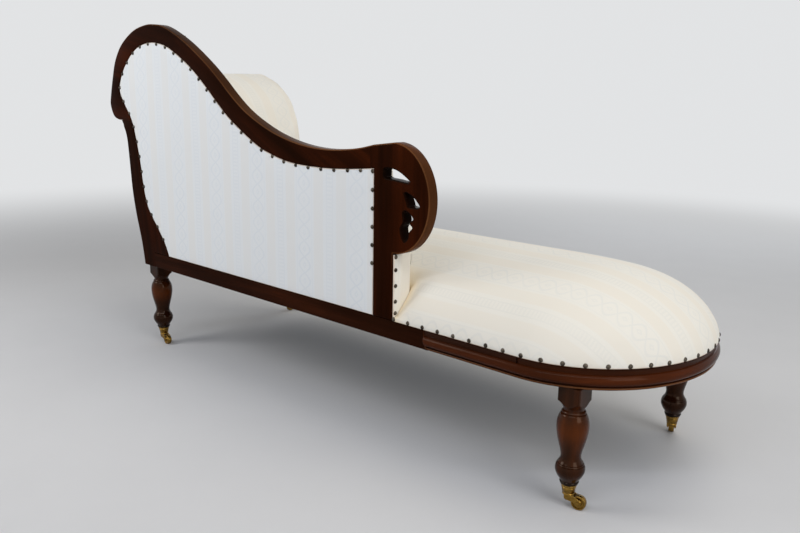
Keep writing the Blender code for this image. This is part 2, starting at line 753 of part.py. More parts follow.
def head_strip(low, high, outer, inner):
    """Section of a strip that follows the head end's outer face, inset at both sides."""
    heights = head_levels(low, high)
    outside = [(head_line(z) - outer, z) for z in heights]
    return outside + [(head_line(z) - inner, z) for z in reversed(heights)]


def roll_outline():
    """Section of the head pad: inner face, roll, and the back that rests on the head rails."""
    base = rail_top + fit_gap
    face = smooth([(roll_foot_x + s * (roll_tip_x - roll_foot_x), base + h * roll_rise)
                   for s, h in roll_shares], 2)
    depth = head_panel_thickness + head_rail_thickness + 2 * fit_gap
    heights = head_levels(base, face[-1][1])
    return face + [(head_line(z) - depth, z) for z in reversed(heights)]


def make_facing(wood, parts, cutters):
    """Front facing that ends in a scroll, with a turned roundel at the scroll's centre."""
    facing_y = -half_depth
    centre = (stile_foot_x + facing_scroll_reach, rail_top + facing_scroll_height)
    scroll = arc(centre, (facing_scroll_radius, facing_scroll_radius), 190, -85, 22)
    inner = smooth(on_back(facing_inner_shares), 2)
    below = rail_underside - cut_overrun
    foot = [(stile_foot_x, below), (inner[0][0], below)]
    outline = scroll + stile_line()[1:] + foot + inner
    facing = upright_board("head_facing", [outline], facing_y, -board_inner_y, wood, parts,
                           board_edge_radius, board_edge_steps)
    region = stile_foot_region(inner[0][0] - cut_overrun, crest_top)
    cutter = upright_board("head_facing_region", [region], facing_y - cut_overrun,
                           cut_overrun - board_inner_y, None, cutters)
    combine(facing, as_guide(cutter), "INTERSECT")
    rise = [(roundel_radius * r, roundel_rise * h) for r, h in roundel_shares]
    profile = [(0.0, roundel_rise)] + rise + [(roundel_radius, fit_gap), (0.0, fit_gap)]
    roundel = turned("head_roundel", profile, 24, wood, parts)
    roundel.rotation_euler.x = math.pi / 2
    roundel.location = (centre[0], facing_y, centre[1])


def make_head_end(inner_wood, fabric, parts):
    """Head rails, outside panel and rolled pad."""
    reach = fit_gap - board_inner_y
    panel_top = rail_top + roll_shares[-1][1] * roll_rise
    panel = head_strip(rail_top + fit_gap, panel_top, 0.0, head_panel_thickness)
    upright_board("head_outside_panel", [panel], reach, -reach, fabric, parts)
    outer = head_panel_thickness + fit_gap
    rail_inner = outer + head_rail_thickness
    for name, low in (("head_stay_rail", rail_top + stay_rail_rise),
                      ("head_top_rail", panel_top - head_rail_height)):
        strip = head_strip(low, low + head_rail_height, outer, rail_inner)
        upright_board(name, [strip], reach, -reach, inner_wood, parts)
    upright_board("head_roll_pad", [roll_outline()], reach, pad_face_y - fit_gap, fabric, parts,
                  roll_edge_radius, roll_edge_steps)


def make_cushion(fabric, parts, cutters):
    """Seat cushion: a crowned section spun round the bow and drawn out to the head end."""
    steps = 10
    angles = [math.pi / 2 * i / steps for i in range(steps + 1)]
    base = rail_top + fit_gap
    section = [(0.0, base), (half_depth * cushion_tuck_share, base)]
    section += [(half_depth * math.cos(a), base + crown_rise * math.sin(a)) for a in angles[1:]]
    section[-1] = (0.0, base + crown_rise)
    bm = bmesh.new()
    verts = [bm.verts.new((bow_x, width, height)) for width, height in section]
    edges = [bm.edges.new(pair) for pair in zip(verts, verts[1:])]
    bmesh.ops.spin(bm, geom=verts + edges, cent=(bow_x, 0.0, 0.0), axis=(0.0, 0.0, 1.0),
                   angle=math.pi, steps=24)
    bmesh.ops.remove_doubles(bm, verts=bm.verts, dist=weld_distance)
    for vert in bm.verts:
        vert.co.x = bow_x + (vert.co.x - bow_x) * bow_length / half_depth
    rim = [edge for edge in bm.edges if edge.is_boundary]
    drawn = bmesh.ops.extrude_edge_only(bm, edges=rim)["geom"]
    moved = [item for item in drawn if isinstance(item, bmesh.types.BMVert)]
    reach = roll_foot_x + cushion_end_reach - bow_x
    bmesh.ops.translate(bm, verts=moved, vec=(reach, 0.0, 0.0))
    bmesh.ops.contextual_create(bm, geom=[item for item in drawn if isinstance(item, bmesh.types.BMEdge)])
    cushion = place("seat_cushion", mesh_from(bm, "seat_cushion"), fabric, parts)
    pad_space = box("pad_space", (post_foot_x - return_thickness - fit_gap, pad_face_y - fit_gap,
                    rail_underside), (head_x, half_depth + cut_overrun, crest_top), None, cutters)
    combine(cushion, as_guide(pad_space), "DIFFERENCE")
    roll = offset(roll_outline()[::-1], -fit_gap)
    roll_space = upright_board("roll_space", [roll], -half_depth - cut_overrun,
                               half_depth, None, cutters)
    combine(cushion, as_guide(roll_space), "DIFFERENCE")


def leg_profile():
    """Radius and height down the turned part of a leg and its end inside the cup."""
    shoulder = cup_top_height + fit_gap
    length = rail_underside - shoulder
    turned_part = [(leg_radius * r, rail_underside - length * d) for d, r in leg_shares]
    slope = (cup_top_radius - cup_base_radius) / (cup_top_height - cup_base_height)
    wall = cup_wall + fit_gap
    foot = cup_base_height + cup_floor + fit_gap
    plug_top = cup_top_radius - wall
    plug_foot = cup_base_radius + slope * (foot - cup_base_height) - wall
    return [(0.0, turned_part[0][1])] + turned_part + [(plug_top, shoulder), (plug_foot, foot),
                                                       (0.0, foot)]


def make_leg(name, axis, wood, parts, cutters):
    """Turned leg with its square block and the spigot that goes up into the rail."""
    x, y = axis
    leg = turned("leg_" + name, leg_profile(), leg_steps, wood, parts)
    leg.location = (x, y, 0.0)
    top = rail_underside - fit_gap
    half = leg_block / 2
    block = box("block_" + name, (x - half, y - half, top - leg_block_height),
                (x + half, y + half, top), None, cutters, leg_block_edge)
    spigot = rod("spigot_" + name, spigot_radius, top - leg_block_height / 2,
                 rail_underside + spigot_height, castor_steps, None, cutters)
    spigot.location = (x, y, 0.0)
    for piece in (block, spigot):
        combine(leg, as_guide(piece), "UNION")
    bore = rod("bore_" + name, (spigot_radius + fit_gap) / math.cos(math.pi / castor_steps),
               rail_underside - cut_overrun, rail_underside + spigot_height + fit_gap,
               castor_steps, None, cutters)
    bore.location = (x, y, 0.0)
    return as_guide(bore)


def bore_rails(bores):
    """Cut each spigot's hole in the rail that it goes up into."""
    rails = {"head_back": "seat_rail_head", "head_front": "seat_rail_head",
             "foot_back": "bow_rail_back", "foot_front": "bow_rail_front"}
    for name, bore in bores.items():
        combine(bpy.data.objects[rails[name]], bore, "DIFFERENCE")


def cup_profile():
    """Closed section of the socket cup: outer side down, floor, bore and inner side up."""
    bore = (pin_radius + fit_gap) / math.cos(math.pi / castor_steps)
    floor = cup_base_height + cup_floor
    slope = (cup_top_radius - cup_base_radius) / (cup_top_height - cup_base_height)
    inner_floor = cup_base_radius + slope * cup_floor - cup_wall
    rim = cup_top_radius + cup_bead
    return [(rim, cup_top_height), (rim, cup_top_height - 2 * cup_bead),
            (cup_top_radius, cup_top_height - 3 * cup_bead), (cup_base_radius, cup_base_height + cup_bead),
            (cup_base_radius, cup_base_height), (bore, cup_base_height), (bore, floor),
            (inner_floor, floor), (cup_top_radius - cup_wall, cup_top_height)]


def cheek_outline():
    """Side of the horn: a link from under the plate to round the axle."""
    head = (0.0, plate_top - plate_thickness / 2 - cheek_head_radius)
    foot = (wheel_trail, axle_height)
    fall = math.degrees(math.atan2(head[1] - foot[1], foot[0]))
    front = arc(foot, (cheek_foot_radius, cheek_foot_radius), -90 - fall, 90 - fall, 8)
    back = arc(head, (cheek_head_radius, cheek_head_radius), 90 - fall, 270 - fall, 8)
    return front + back


def make_castor(name, axis, brass, parts, cutters):
    """Socket cup on the leg, and a horn with its axle and wheel that swivel together."""
    swivel = bpy.data.objects.new("swivel_" + name, None)
    cutters.objects.link(swivel)
    swivel.location = (*axis, 0.0)
    swivel.rotation_euler.z = math.radians(trail_degrees[name])
    cup = turned("castor_cup_" + name, cup_profile(), castor_steps, brass, parts, closed=True)
    cup.location = (*axis, 0.0)
    plate_foot = plate_top - plate_thickness
    pin_top = cup_base_height + cup_floor - fit_gap
    horn = turned("castor_horn_" + name, [(0.0, pin_top), (pin_radius, pin_top),
                  (pin_radius, plate_top), (plate_radius, plate_top), (plate_radius, plate_foot),
                  (0.0, plate_foot)], castor_steps, brass, parts)
    horn.parent = swivel
    for side in (-1, 1):
        low, high = sorted((side * cheek_inner, side * cheek_outer))
        label = "cheek_left_" if side < 0 else "cheek_right_"
        cheek = upright_board(label + name, [cheek_outline()], low, high, None, cutters)
        cheek.parent = swivel
        combine(horn, as_guide(cheek), "UNION")
    bore_radius = (axle_radius + fit_gap) / math.cos(math.pi / castor_steps)
    bore = rod("axle_bore_" + name, bore_radius, -cheek_outer - cut_overrun, cheek_outer + cut_overrun,
               castor_steps, None, cutters)
    head = axle_head_length
    axle = turned("castor_axle_" + name, [
        (0.0, cheek_outer + fit_gap + head), (axle_head_radius, cheek_outer + fit_gap + head / 2),
        (axle_head_radius, cheek_outer + fit_gap), (axle_radius, cheek_outer + fit_gap),
        (axle_radius, -cheek_outer - fit_gap), (axle_head_radius, -cheek_outer - fit_gap),
        (axle_head_radius, -cheek_outer - fit_gap - head / 2), (0.0, -cheek_outer - fit_gap - head)],
        castor_steps, brass, parts)
    rim = [(wheel_radius * r, wheel_width / 2 * w) for r, w in wheel_shares]
    bore_edge = [(bore_radius, -wheel_width / 2), (bore_radius, wheel_width / 2)]
    profile = [(r, -w) for r, w in rim] + bore_edge + rim[::-1]
    wheel = turned("castor_wheel_" + name, profile, wheel_steps, brass, parts, closed=True)
    for piece in (bore, axle, wheel):
        piece.parent = swivel
        piece.location = (wheel_trail, 0.0, axle_height)
        piece.rotation_euler = (math.pi / 2, 0.0, 0.0)
    wheel.rotation_euler.y = math.pi / wheel_steps
    combine(horn, as_guide(bore), "DIFFERENCE")


def main():
    """Build every piece of the recamier."""
    clear_scene()
    parts = new_collection("recamier")
    cutters = new_collection("cutters", hidden=True)
    mahogany = material("mahogany", (0.085, 0.018, 0.008), 0.28)
    beech = material("beech", (0.46, 0.31, 0.18), 0.65)
    fabric = material("damask_stripe", (0.80, 0.77, 0.70), 0.85)
    jute = material("jute_webbing", (0.42, 0.31, 0.18), 0.9)
    cloth = material("bottom_cloth", (0.03, 0.03, 0.03), 0.95)
    brass = material("aged_brass", (0.60, 0.42, 0.14), 0.32, 1.0)
    make_seat_rails(mahogany, parts, cutters)
    make_mouldings(mahogany, parts, cutters)
    make_braces(beech, parts)
    make_webbing(jute, parts)
    make_bottom_cloth(cloth, parts, cutters)
    make_back_frame(mahogany, parts, cutters)
    make_back_panel(fabric, beech, parts, cutters)
    make_back_pad(fabric, parts, cutters)
    make_facing(mahogany, parts, cutters)
    make_head_end(beech, fabric, parts)
    make_cushion(fabric, parts, cutters)
    bores = {}
    for name, axis in leg_places().items():
        bores[name] = make_leg(name, axis, mahogany, parts, cutters)
        make_castor(name, axis, brass, parts, cutters)
    bore_rails(bores)


main()
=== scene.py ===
"""Looks of the recamier: a Victorian chaise longue in mahogany and cream damask stripe.

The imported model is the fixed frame, in metres, +Z up: +X is the head, -X the bowed foot,
+Y the show-wood back and -Y the front. Every piece is dressed or modelled in that frame.
"""

import logging
import math
from dataclasses import dataclass, field
from enum import Enum
from typing import Callable, Iterable, Optional, Sequence, Union

import bmesh
import bpy
import numpy as np
from bpy.types import Material, Mesh, NodeSocket, Object, World
from mathutils import Matrix, Vector, geometry


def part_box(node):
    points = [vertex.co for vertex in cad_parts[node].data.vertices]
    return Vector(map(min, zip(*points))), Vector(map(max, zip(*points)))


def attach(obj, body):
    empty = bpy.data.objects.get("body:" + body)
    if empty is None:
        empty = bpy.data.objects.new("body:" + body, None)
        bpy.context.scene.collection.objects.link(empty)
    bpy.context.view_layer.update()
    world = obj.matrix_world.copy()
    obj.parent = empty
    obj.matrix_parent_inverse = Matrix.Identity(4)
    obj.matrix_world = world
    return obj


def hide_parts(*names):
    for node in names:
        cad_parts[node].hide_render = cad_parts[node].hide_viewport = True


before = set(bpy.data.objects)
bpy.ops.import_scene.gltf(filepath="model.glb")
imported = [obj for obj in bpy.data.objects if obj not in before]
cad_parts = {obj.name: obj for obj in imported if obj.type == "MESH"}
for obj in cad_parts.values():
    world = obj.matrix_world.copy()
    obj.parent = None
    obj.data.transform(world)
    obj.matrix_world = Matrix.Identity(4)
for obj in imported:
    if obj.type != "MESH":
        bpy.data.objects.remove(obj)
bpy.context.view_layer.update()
log = logging.getLogger("recamier")

Array = np.ndarray
Colour = tuple[float, float, float]
Number = Union[float, "Value"]
Pair = tuple[float, float]
Outline = tuple[Pair, ...]

millimetre = 0.001
tiny = 1e-9


class Axis(Enum):
    """World axis that a board's thickness lies along."""

    ALONG = 0
    ACROSS = 1
    UP = 2


# Shapes worked out as arrays


def resample(points: Array, steps: int, closed: bool = False, corner: float = 32.0) -> Array:
    """Draw a smooth curve through points and keep their corners.

    Each stretch is a cubic Hermite curve. It starts in the mean direction of the two segments
    that meet, or the longer one's own if over 2.5 times the other, or its own at a corner.

    Args:
        points: Places in the plane, one a row.
        steps: Pieces that each stretch is cut into.
        closed: Whether the last point joins the first.
        corner: Turn in degrees from which a point stays a corner.

    Returns:
        The curve's places, one a row.
    """
    here = np.asarray(points, float)
    after = np.roll(here, -1, axis=0)
    chord = after - here
    length = np.maximum(np.linalg.norm(chord, axis=1), tiny)
    along = chord / length[:, None]
    before, before_length = np.roll(along, 1, axis=0), np.roll(length, 1)
    turn = np.degrees(np.arccos(np.clip((along * before).sum(1), -1, 1)))
    mean = unit(along + before)
    longer = 2.5
    mean = np.where((length > longer * before_length)[:, None], along, mean)
    mean = np.where((before_length > longer * length)[:, None], before, mean)
    sharp = turn > corner
    if not closed:
        sharp[[0, -1]] = True
    leave = np.where(sharp[:, None], along, mean)
    arrive = np.roll(np.where(sharp[:, None], before, mean), -1, axis=0)
    t = (np.arange(steps) / steps)[None, :, None]
    a, b = here[:, None, :], after[:, None, :]
    m0, m1 = (leave * length[:, None])[:, None, :], (arrive * length[:, None])[:, None, :]
    curve = ((2 * t ** 3 - 3 * t ** 2 + 1) * a + (t ** 3 - 2 * t ** 2 + t) * m0
             + (3 * t ** 2 - 2 * t ** 3) * b + (t ** 3 - t ** 2) * m1)
    if closed:
        return curve.reshape(-1, here.shape[1])
    return np.vstack([curve[:-1].reshape(-1, here.shape[1]), here[-1:]])


def signed_area(loop: Array) -> float:
    """Area inside a loop, positive where it runs counter-clockwise."""
    x, y = loop[:, 0], loop[:, 1]
    return float((x * np.roll(y, -1) - np.roll(x, -1) * y).sum() / 2)


def anticlockwise(loop: Array) -> Array:
    """A loop turned so that it runs counter-clockwise."""
    return loop if signed_area(loop) > 0 else loop[::-1]


def inset(loop: Array, distance: Union[float, Array]) -> Array:
    """Move a counter-clockwise loop's edges inwards.

    A corner goes where its moved edges meet: with inward normals m and n and distances a and b,
    its step v solves v.m = a and v.n = b. With equal distances, or edges nearly in line, it is the
    mean normal times the mean distance over the cosine of the half turn.

    Args:
        loop: Places in the plane, one a row.
        distance: One for all edges, or one for each edge from its point on.

    Returns:
        The moved loop.
    """
    along = unit(np.roll(loop, -1, axis=0) - loop)
    n = columns(-along[:, 1], along[:, 0])
    m = np.roll(n, 1, axis=0)
    b = np.broadcast_to(np.asarray(distance, float), (len(loop),))
    a = np.roll(b, 1)
    mean = unit(n + m)
    plain = mean * ((a + b) / 2 / np.maximum((mean * n).sum(1), 0.5))[:, None]
    turn = turns(loop)[0]
    uneven = (np.abs(turn) > 0.3) & (np.abs(a - b) > 1e-7)
    exact = columns(a * n[:, 1] - b * m[:, 1], b * m[:, 0] - a * n[:, 0])
    exact /= np.where(uneven, turn, 1.0)[:, None]
    return loop + np.where(uneven[:, None], exact, plain)


def inside(loop: Array, points: Array) -> Array:
    """Whether points lie inside a loop, by counting the edges to their right."""
    x0, y0 = loop[:, 0], loop[:, 1]
    x1, y1 = np.roll(x0, -1), np.roll(y0, -1)
    px, py = points[:, :1], points[:, 1:2]
    crosses = (y0 > py) != (y1 > py)
    rise = np.where(y1 == y0, 1e-12, y1 - y0)
    return (crosses & (px < x0 + (py - y0) * (x1 - x0) / rise)).sum(1) % 2 == 1


def nearest(loop: Array, points: Array) -> tuple[Array, Array]:
    """Each point's distance to a loop's nearest edge, and its place there counted in edges."""
    edge = np.roll(loop, -1, axis=0) - loop
    square = np.maximum((edge ** 2).sum(1), tiny ** 2)
    found, batch = [], 4000
    for first in range(0, len(points), batch):
        away = points[first:first + batch, None, :] - loop
        t = np.clip((away * edge).sum(2) / square, 0, 1)
        gap = np.linalg.norm(away - t[:, :, None] * edge, axis=2)
        one = np.arange(len(gap)), gap.argmin(1)
        found.append(np.stack([gap[one], one[1] + t[one]]))
    return tuple(np.concatenate(found, axis=1))


def distance_to(loop: Array, points: Array) -> Array:
    """Shortest distance from each point to a loop's edges."""
    return nearest(loop, points)[0]


def reached(gap: Array, reach: float) -> Array:
    """Share of a reach that a distance covers, between 0 and 1."""
    return np.clip(gap / reach, 0, 1)


def metres(outline: Outline, out: float = 0.0, up: float = 0.0) -> Array:
    """An outline in millimetres as places in metres, moved out and up."""
    return np.array(outline) * millimetre + [out, up]


def columns(*values: Array) -> Array:
    """Rows of numbers from their columns."""
    return np.stack(values, axis=1)


def unit(vectors: Array) -> Array:
    """Vectors made one long."""
    return vectors / np.maximum(np.linalg.norm(vectors, axis=-1, keepdims=True), tiny)


def arc_lengths(path: Array) -> Array:
    """Distance along an open path at each of its points."""
    return np.concatenate([[0.0], np.cumsum(np.linalg.norm(np.diff(path, axis=0), axis=1))])


def on_path(path: Array, at: Array) -> Array:
    """Places on a path at distances along it, one a row."""
    run = arc_lengths(path)
    return np.stack([np.interp(at, run, path[:, k]) for k in range(path.shape[1])], axis=1)


def upright_axis(name: str) -> Array:
    """The middle of a node's box in X and Y, at height 0."""
    low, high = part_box(name)
    return np.array([(low.x + high.x) / 2, (low.y + high.y) / 2, 0.0])


def outline(name: str, axis: Axis = Axis.ACROSS) -> list[Array]:
    """Loops in which the plane half way through a node cuts it."""
    low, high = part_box(name)
    return node_sections(name, axis, (low[axis.value] + high[axis.value]) / 2)


def node_sections(name: str, axis: Axis, level: float) -> list[Array]:
    """Loops in which a plane cuts a node's mesh.

    Args:
        name: The node.
        axis: Axis square to the plane.
        level: The plane's place on it.

    Returns:
        Loops in the other two axes, counter-clockwise, the largest first.
    """
    mesh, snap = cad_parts[name].data, 0.05 * millimetre
    mesh.calc_loop_triangles()
    triangles = np.empty(len(mesh.loop_triangles) * 3, np.int32)
    mesh.loop_triangles.foreach_get("vertices", triangles)
    places = coordinates(mesh)[triangles].reshape(-1, 3, 3)
    height = places[:, :, axis.value] - level
    crossing = (height.min(1) < 0) & (height.max(1) > 0)
    places, height = places[crossing], height[crossing]
    flat = [k for k in range(3) if k != axis.value]
    ends: dict[tuple[int, int], list[tuple[int, int]]] = {}
    exact: dict[tuple[int, int], Array] = {}
    for triangle, heights in zip(places, height):
        cut = []
        for i, j in ((0, 1), (1, 2), (2, 0)):
            if (heights[i] > 0) != (heights[j] > 0):
                t = heights[i] / (heights[i] - heights[j])
                point = (triangle[i] + (triangle[j] - triangle[i]) * t)[flat]
                key = tuple(np.round(point / snap).astype(int))
                exact[key] = point
                cut.append(key)
        if len(cut) == 2 and cut[0] != cut[1]:
            ends.setdefault(cut[0], []).append(cut[1])
            ends.setdefault(cut[1], []).append(cut[0])
    loops, seen = [], set()
    for key in ends:
        if key in seen:
            continue
        chain, here = [], key
        while here is not None and here not in seen:
            seen.add(here)
            chain.append(exact[here])
            here = next((k for k in ends[here] if k not in seen), None)
        if len(chain) > 2:
            loops.append(np.array(chain))
    loops = [anticlockwise(straightened(loop)) for loop in loops]
    return sorted(loops, key=signed_area, reverse=True)


def turns(loop: Array) -> tuple[Array, Array]:
    """Sine and cosine of the turn at each point of a loop."""
    b = unit(np.roll(loop, -1, axis=0) - loop)
    a = np.roll(b, 1, axis=0)
    return a[:, 0] * b[:, 1] - a[:, 1] * b[:, 0], (a * b).sum(1)


def straightened(loop: Array) -> Array:
    """A loop without the points that lie on the line between their neighbours."""
    least_bend = 0.004
    kept = loop[np.abs(turns(loop)[0]) > least_bend]
    return kept if len(kept) > 3 else loop


def unfolded(loop: Array) -> Array:
    """A loop without the points at which it folds back on itself, turning over 107 degrees."""
    return loop[turns(loop)[1] > -0.3]


@dataclass
class Shell:
    """Surfaces that are gathered into one mesh: their points and their faces."""

    points: list[Array] = field(default_factory=list)
    faces: list[Array] = field(default_factory=list)

    def add(self, points: Array, *faces: Array) -> "Shell":
        """Add surfaces, their faces numbered from their own first point."""
        base = sum(len(p) for p in self.points)
        self.points.append(np.asarray(points, float).reshape(-1, 3))
        self.faces += [some + base for some in faces]
        return self

    def take(self, other: "Shell") -> "Shell":
        """Add all the surfaces of another shell."""
        return self.add(np.vstack(other.points), *other.faces)

    def add_grid(self, grid: Array, wrap_rows: bool = False, wrap_columns: bool = False,
                 flip: bool = False) -> "Shell":
        """Add a surface given by points in rows and columns, and give back the shell.

        Args:
            grid: The points.
            wrap_rows: Whether the last row joins the first.
            wrap_columns: Whether the last column joins the first.
            flip: Whether the faces are turned over.
        """
        rows, columns = grid.shape[:2]
        i = np.arange(rows if wrap_rows else rows - 1)
        j = np.arange(columns if wrap_columns else columns - 1)
        i, j = (k.ravel() for k in np.meshgrid(i, j, indexing="ij"))
        i2, j2 = (i + 1) % rows, (j + 1) % columns
        quads = np.stack([i * columns + j, i * columns + j2, i2 * columns + j2, i2 * columns + j], 1)
        return self.add(grid.reshape(-1, 3), quads[:, ::-1] if flip else quads)

    def build(self, name: str, weld: float = 0.00002, sharp: float = 50.0,
              outward: bool = True) -> Object:
        """Make the object, at the origin.

        Args:
            name: Its name.
            weld: Distance under which points become one.
            sharp: Angle in degrees from which an edge is shaded sharp.
            outward: Whether all faces are turned outwards.
        """
        mesh = bpy.data.meshes.new(name)
        points = np.vstack(self.points)
        corners = np.concatenate([f.ravel() for f in self.faces])
        sizes = np.concatenate([np.full(len(f), f.shape[1]) for f in self.faces])
        mesh.vertices.add(len(points))
        mesh.vertices.foreach_set("co", points.ravel())
        mesh.loops.add(len(corners))
        mesh.loops.foreach_set("vertex_index", corners.astype(np.int32))
        mesh.polygons.add(len(sizes))
        mesh.polygons.foreach_set("loop_start", (np.cumsum(sizes) - sizes).astype(np.int32))
        mesh.update(calc_edges=True)
        mesh.validate()
        bm = bmesh.new()
        bm.from_mesh(mesh)
        bmesh.ops.remove_doubles(bm, verts=bm.verts, dist=weld)
        bmesh.ops.dissolve_degenerate(bm, edges=bm.edges, dist=weld / 4)
        if outward:
            bmesh.ops.recalc_face_normals(bm, faces=bm.faces)
        bm.to_mesh(mesh)
        bm.free()
        shade(mesh, sharp)
        obj = bpy.data.objects.new(name, mesh)
        bpy.context.scene.collection.objects.link(obj)
        return obj


def shade(mesh: Mesh, sharp: float) -> None:
    """Shade a mesh smooth, with edges over an angle in degrees kept sharp."""
    mesh.shade_smooth()
    mesh.set_sharp_from_angle(angle=math.radians(sharp))


def coordinates(mesh: Mesh, kind: str = "co") -> Array:
    """A mesh's points, or their normals, one a row."""
    flat = np.empty(len(mesh.vertices) * 3)
    mesh.vertices.foreach_get(kind, flat)
    return flat.reshape(-1, 3)


def set_coordinates(mesh: Mesh, points: Array) -> None:
    """Write a mesh's points."""
    mesh.vertices.foreach_set("co", points.ravel())
    mesh.update()


def store(mesh: Mesh, name: str, *columns: Array) -> None:
    """Keep up to three numbers for each point of a mesh as a vector attribute, the rest 0."""
    values = np.zeros((len(mesh.vertices), 3), np.float32)
    for k, column in enumerate(columns):
        values[:, k] = column
    layer = mesh.attributes.new(name, "FLOAT_VECTOR", "POINT")
    layer.data.foreach_set("vector", values.ravel())


def turned(profile: Array, steps: int, centre: Array, axes: Array = np.eye(3),
           closed: bool = False, limit: Union[float, Array] = math.inf) -> Shell:
    """Turn a profile about the third of three axes.

    Args:
        profile: Radius and height, one pair a row.
        steps: Points in a round, at equal angles from the first axis towards the second.
        centre: Where the axes meet.
        axes: The three axes, one a row.
        closed: Whether the profile's last point joins its first.
        limit: Largest radius, or one for each row and angle.

    Returns:
        The surface.
    """
    a = np.linspace(0, 2 * math.pi, steps, endpoint=False)
    radius, height = np.minimum(profile[:, :1], limit), profile[:, 1:]
    parts = (radius * np.cos(a), radius * np.sin(a), height + 0 * a)
    grid = centre + sum(part[:, :, None] * axis for part, axis in zip(parts, axes))
    return Shell().add_grid(grid, wrap_rows=closed, wrap_columns=True)


def fan(ring: Array) -> tuple[Array, Array]:
    """Triangles from a closed ring of points to its middle."""
    index = np.arange(len(ring))
    faces = columns(index, (index + 1) % len(ring), np.full(len(ring), len(ring)))
    return np.vstack([ring, ring.mean(0)]), faces


def filled(loops: Sequence[Array], spacing: Optional[float] = None,
           margin: float = 0.002) -> tuple[Array, Array]:
    """Triangles that fill a loop less its holes, by constrained Delaunay triangulation.

    Args:
        loops: The outer loop, then the holes.
        spacing: Distance between the inner points, in staggered rows, or None for none.
        margin: Least distance from an inner point to a loop.

    Returns:
        The points in the plane and the triangles between them.
    """
    corners = np.vstack(loops)
    edges, base = [], 0
    for loop in loops:
        index = np.arange(len(loop))
        edges.append(columns(base + index, base + (index + 1) % len(loop)))
        base += len(loop)
    if spacing:
        low, high = loops[0].min(0), loops[0].max(0)
        xs = np.arange(low[0] + spacing / 2, high[0], spacing)
        ys = np.arange(low[1] + spacing / 2, high[1], spacing * 0.866)
        x, y = np.meshgrid(xs, ys)
        x = x + (np.arange(len(ys)) % 2)[:, None] * spacing / 2
        inner = columns(x.ravel(), y.ravel())
        inner = inner[inside(loops[0], inner)]
        for hole in loops[1:]:
            inner = inner[~inside(hole, inner)]
        for loop in loops:
            inner = inner[distance_to(loop, inner) > margin]
        corners = np.vstack([corners, inner])
    made = geometry.delaunay_2d_cdt([Vector(p) for p in corners], np.vstack(edges).tolist(), [], 1,
                                    tiny * 100)
    points = np.array([tuple(p) for p in made[0]])
    triangles = np.array([t for t in made[2] if len(t) == 3])
    middle = points[triangles].mean(1)
    for hole in loops[1:]:
        outside = ~inside(hole, middle)
        triangles, middle = triangles[outside], middle[outside]
    return points, triangles


def board(loops: Sequence[Array], low: float, high: float, axis: Axis,
          edge: Union[float, Pair], edge_steps: int = 5,
          spacing: Optional[float] = None, both: bool = False,
          relief: Optional[Callable[[Array], Array]] = None, side: int = 1, rows: int = 1,
          round_share: Union[float, Array] = 1.0) -> Shell:
    """A flat board with rounded rims, cut to loops.

    At angle a from 0 to 90 degrees the rim lies edge (1 - cos a) inside the loop and
    edge (1 - sin a) below the face.

    Args:
        loops: Outer loop, then the holes, in the plane across the thickness.
        low: Lower face on the thickness axis.
        high: Upper face on it.
        axis: The thickness axis.
        edge: Radius of the rims, or of the lower and the upper rim.
        edge_steps: Steps in each rounded rim.
        spacing: Distance between the worked face's inner points.
        both: Whether the other face has inner points too.
        relief: Height added to the worked face, from places in the plane.
        side: 1 where the upper face is worked, -1 for the lower one.
        rows: Strips in the straight part of the rim.
        round_share: Share of the rounding at each edge of the outer loop, 0 at a joint.

    Returns:
        The board's surfaces.
    """
    angle = np.linspace(0, math.pi / 2, edge_steps + 1)
    foot, top = edge if isinstance(edge, tuple) else (edge, edge)
    straight = np.linspace(low + foot, high - top, rows + 1)[1:-1]
    inward = np.concatenate([foot * (1 - np.cos(angle[::-1])), 0 * straight, top * (1 - np.cos(angle))])
    level = np.concatenate([low + foot * (1 - np.sin(angle[::-1])), straight,
                            high - top * (1 - np.sin(angle))])
    shell = Shell()
    faces: list[list[Array]] = [[], []]
    for number, loop in enumerate(loops):
        share = round_share if number == 0 else -1.0
        rings = [inset(loop, step * share) for step in inward]
        grid = np.stack([stand(ring, z, axis) for ring, z in zip(rings, level)])
        if relief is not None:
            for row in (range(-edge_steps - 1, 0) if side > 0 else range(edge_steps + 1)):
                grid[row, :, axis.value] += side * relief(rings[row])
        shell.add_grid(grid, wrap_columns=True)
        faces[0].append(rings[0])
        faces[1].append(rings[-1])
    for number, z in ((0, low), (1, high)):
        worked = (number == 1) == (side > 0)
        points, triangles = filled(faces[number], spacing if worked or both else None)
        if worked and relief is not None:
            z = z + side * relief(points)
        shell.add(stand(points, z, axis), triangles)
    return shell


def joint_edges(loop: Array, others: Iterable[Array], reach: float = 0.8 * millimetre) -> Array:
    """Which edges of a loop lie along a neighbour's outline."""
    found = np.zeros(len(loop), bool)
    middle = (loop + np.roll(loop, -1, axis=0)) / 2
    for other in others:
        near = distance_to(other, loop) < reach
        found |= near & np.roll(near, -1) & (distance_to(other, middle) < reach)
    return found


def stand(places: Array, levels: Union[float, Array], axis: Axis) -> Array:
    """Places in the plane across an axis, with their level or levels on it, as points in space."""
    return np.insert(places, axis.value, levels, axis=1)


def swept(section: Array, path: Array, outward: Array) -> Array:
    """Carry a section along a level path.

    The point at row i and column j is the path's at i, plus the section's first value at j
    times the outward direction at i, plus its second value upwards.
    """
    grid = path[:, None, :] + outward[:, None, :] * section[None, :, :1]
    grid[:, :, 2] += section[None, :, 1]
    return grid


def half_round(low: float, high: float, depth: float, steps: int) -> Array:
    """Bulge and height of a half round: depth cos a outwards, a from -90 to 90 degrees."""
    a = np.linspace(-math.pi / 2, math.pi / 2, steps + 1)
    return columns(depth * np.cos(a), (low + high) / 2 + (high - low) / 2 * np.sin(a))


# Shader maths


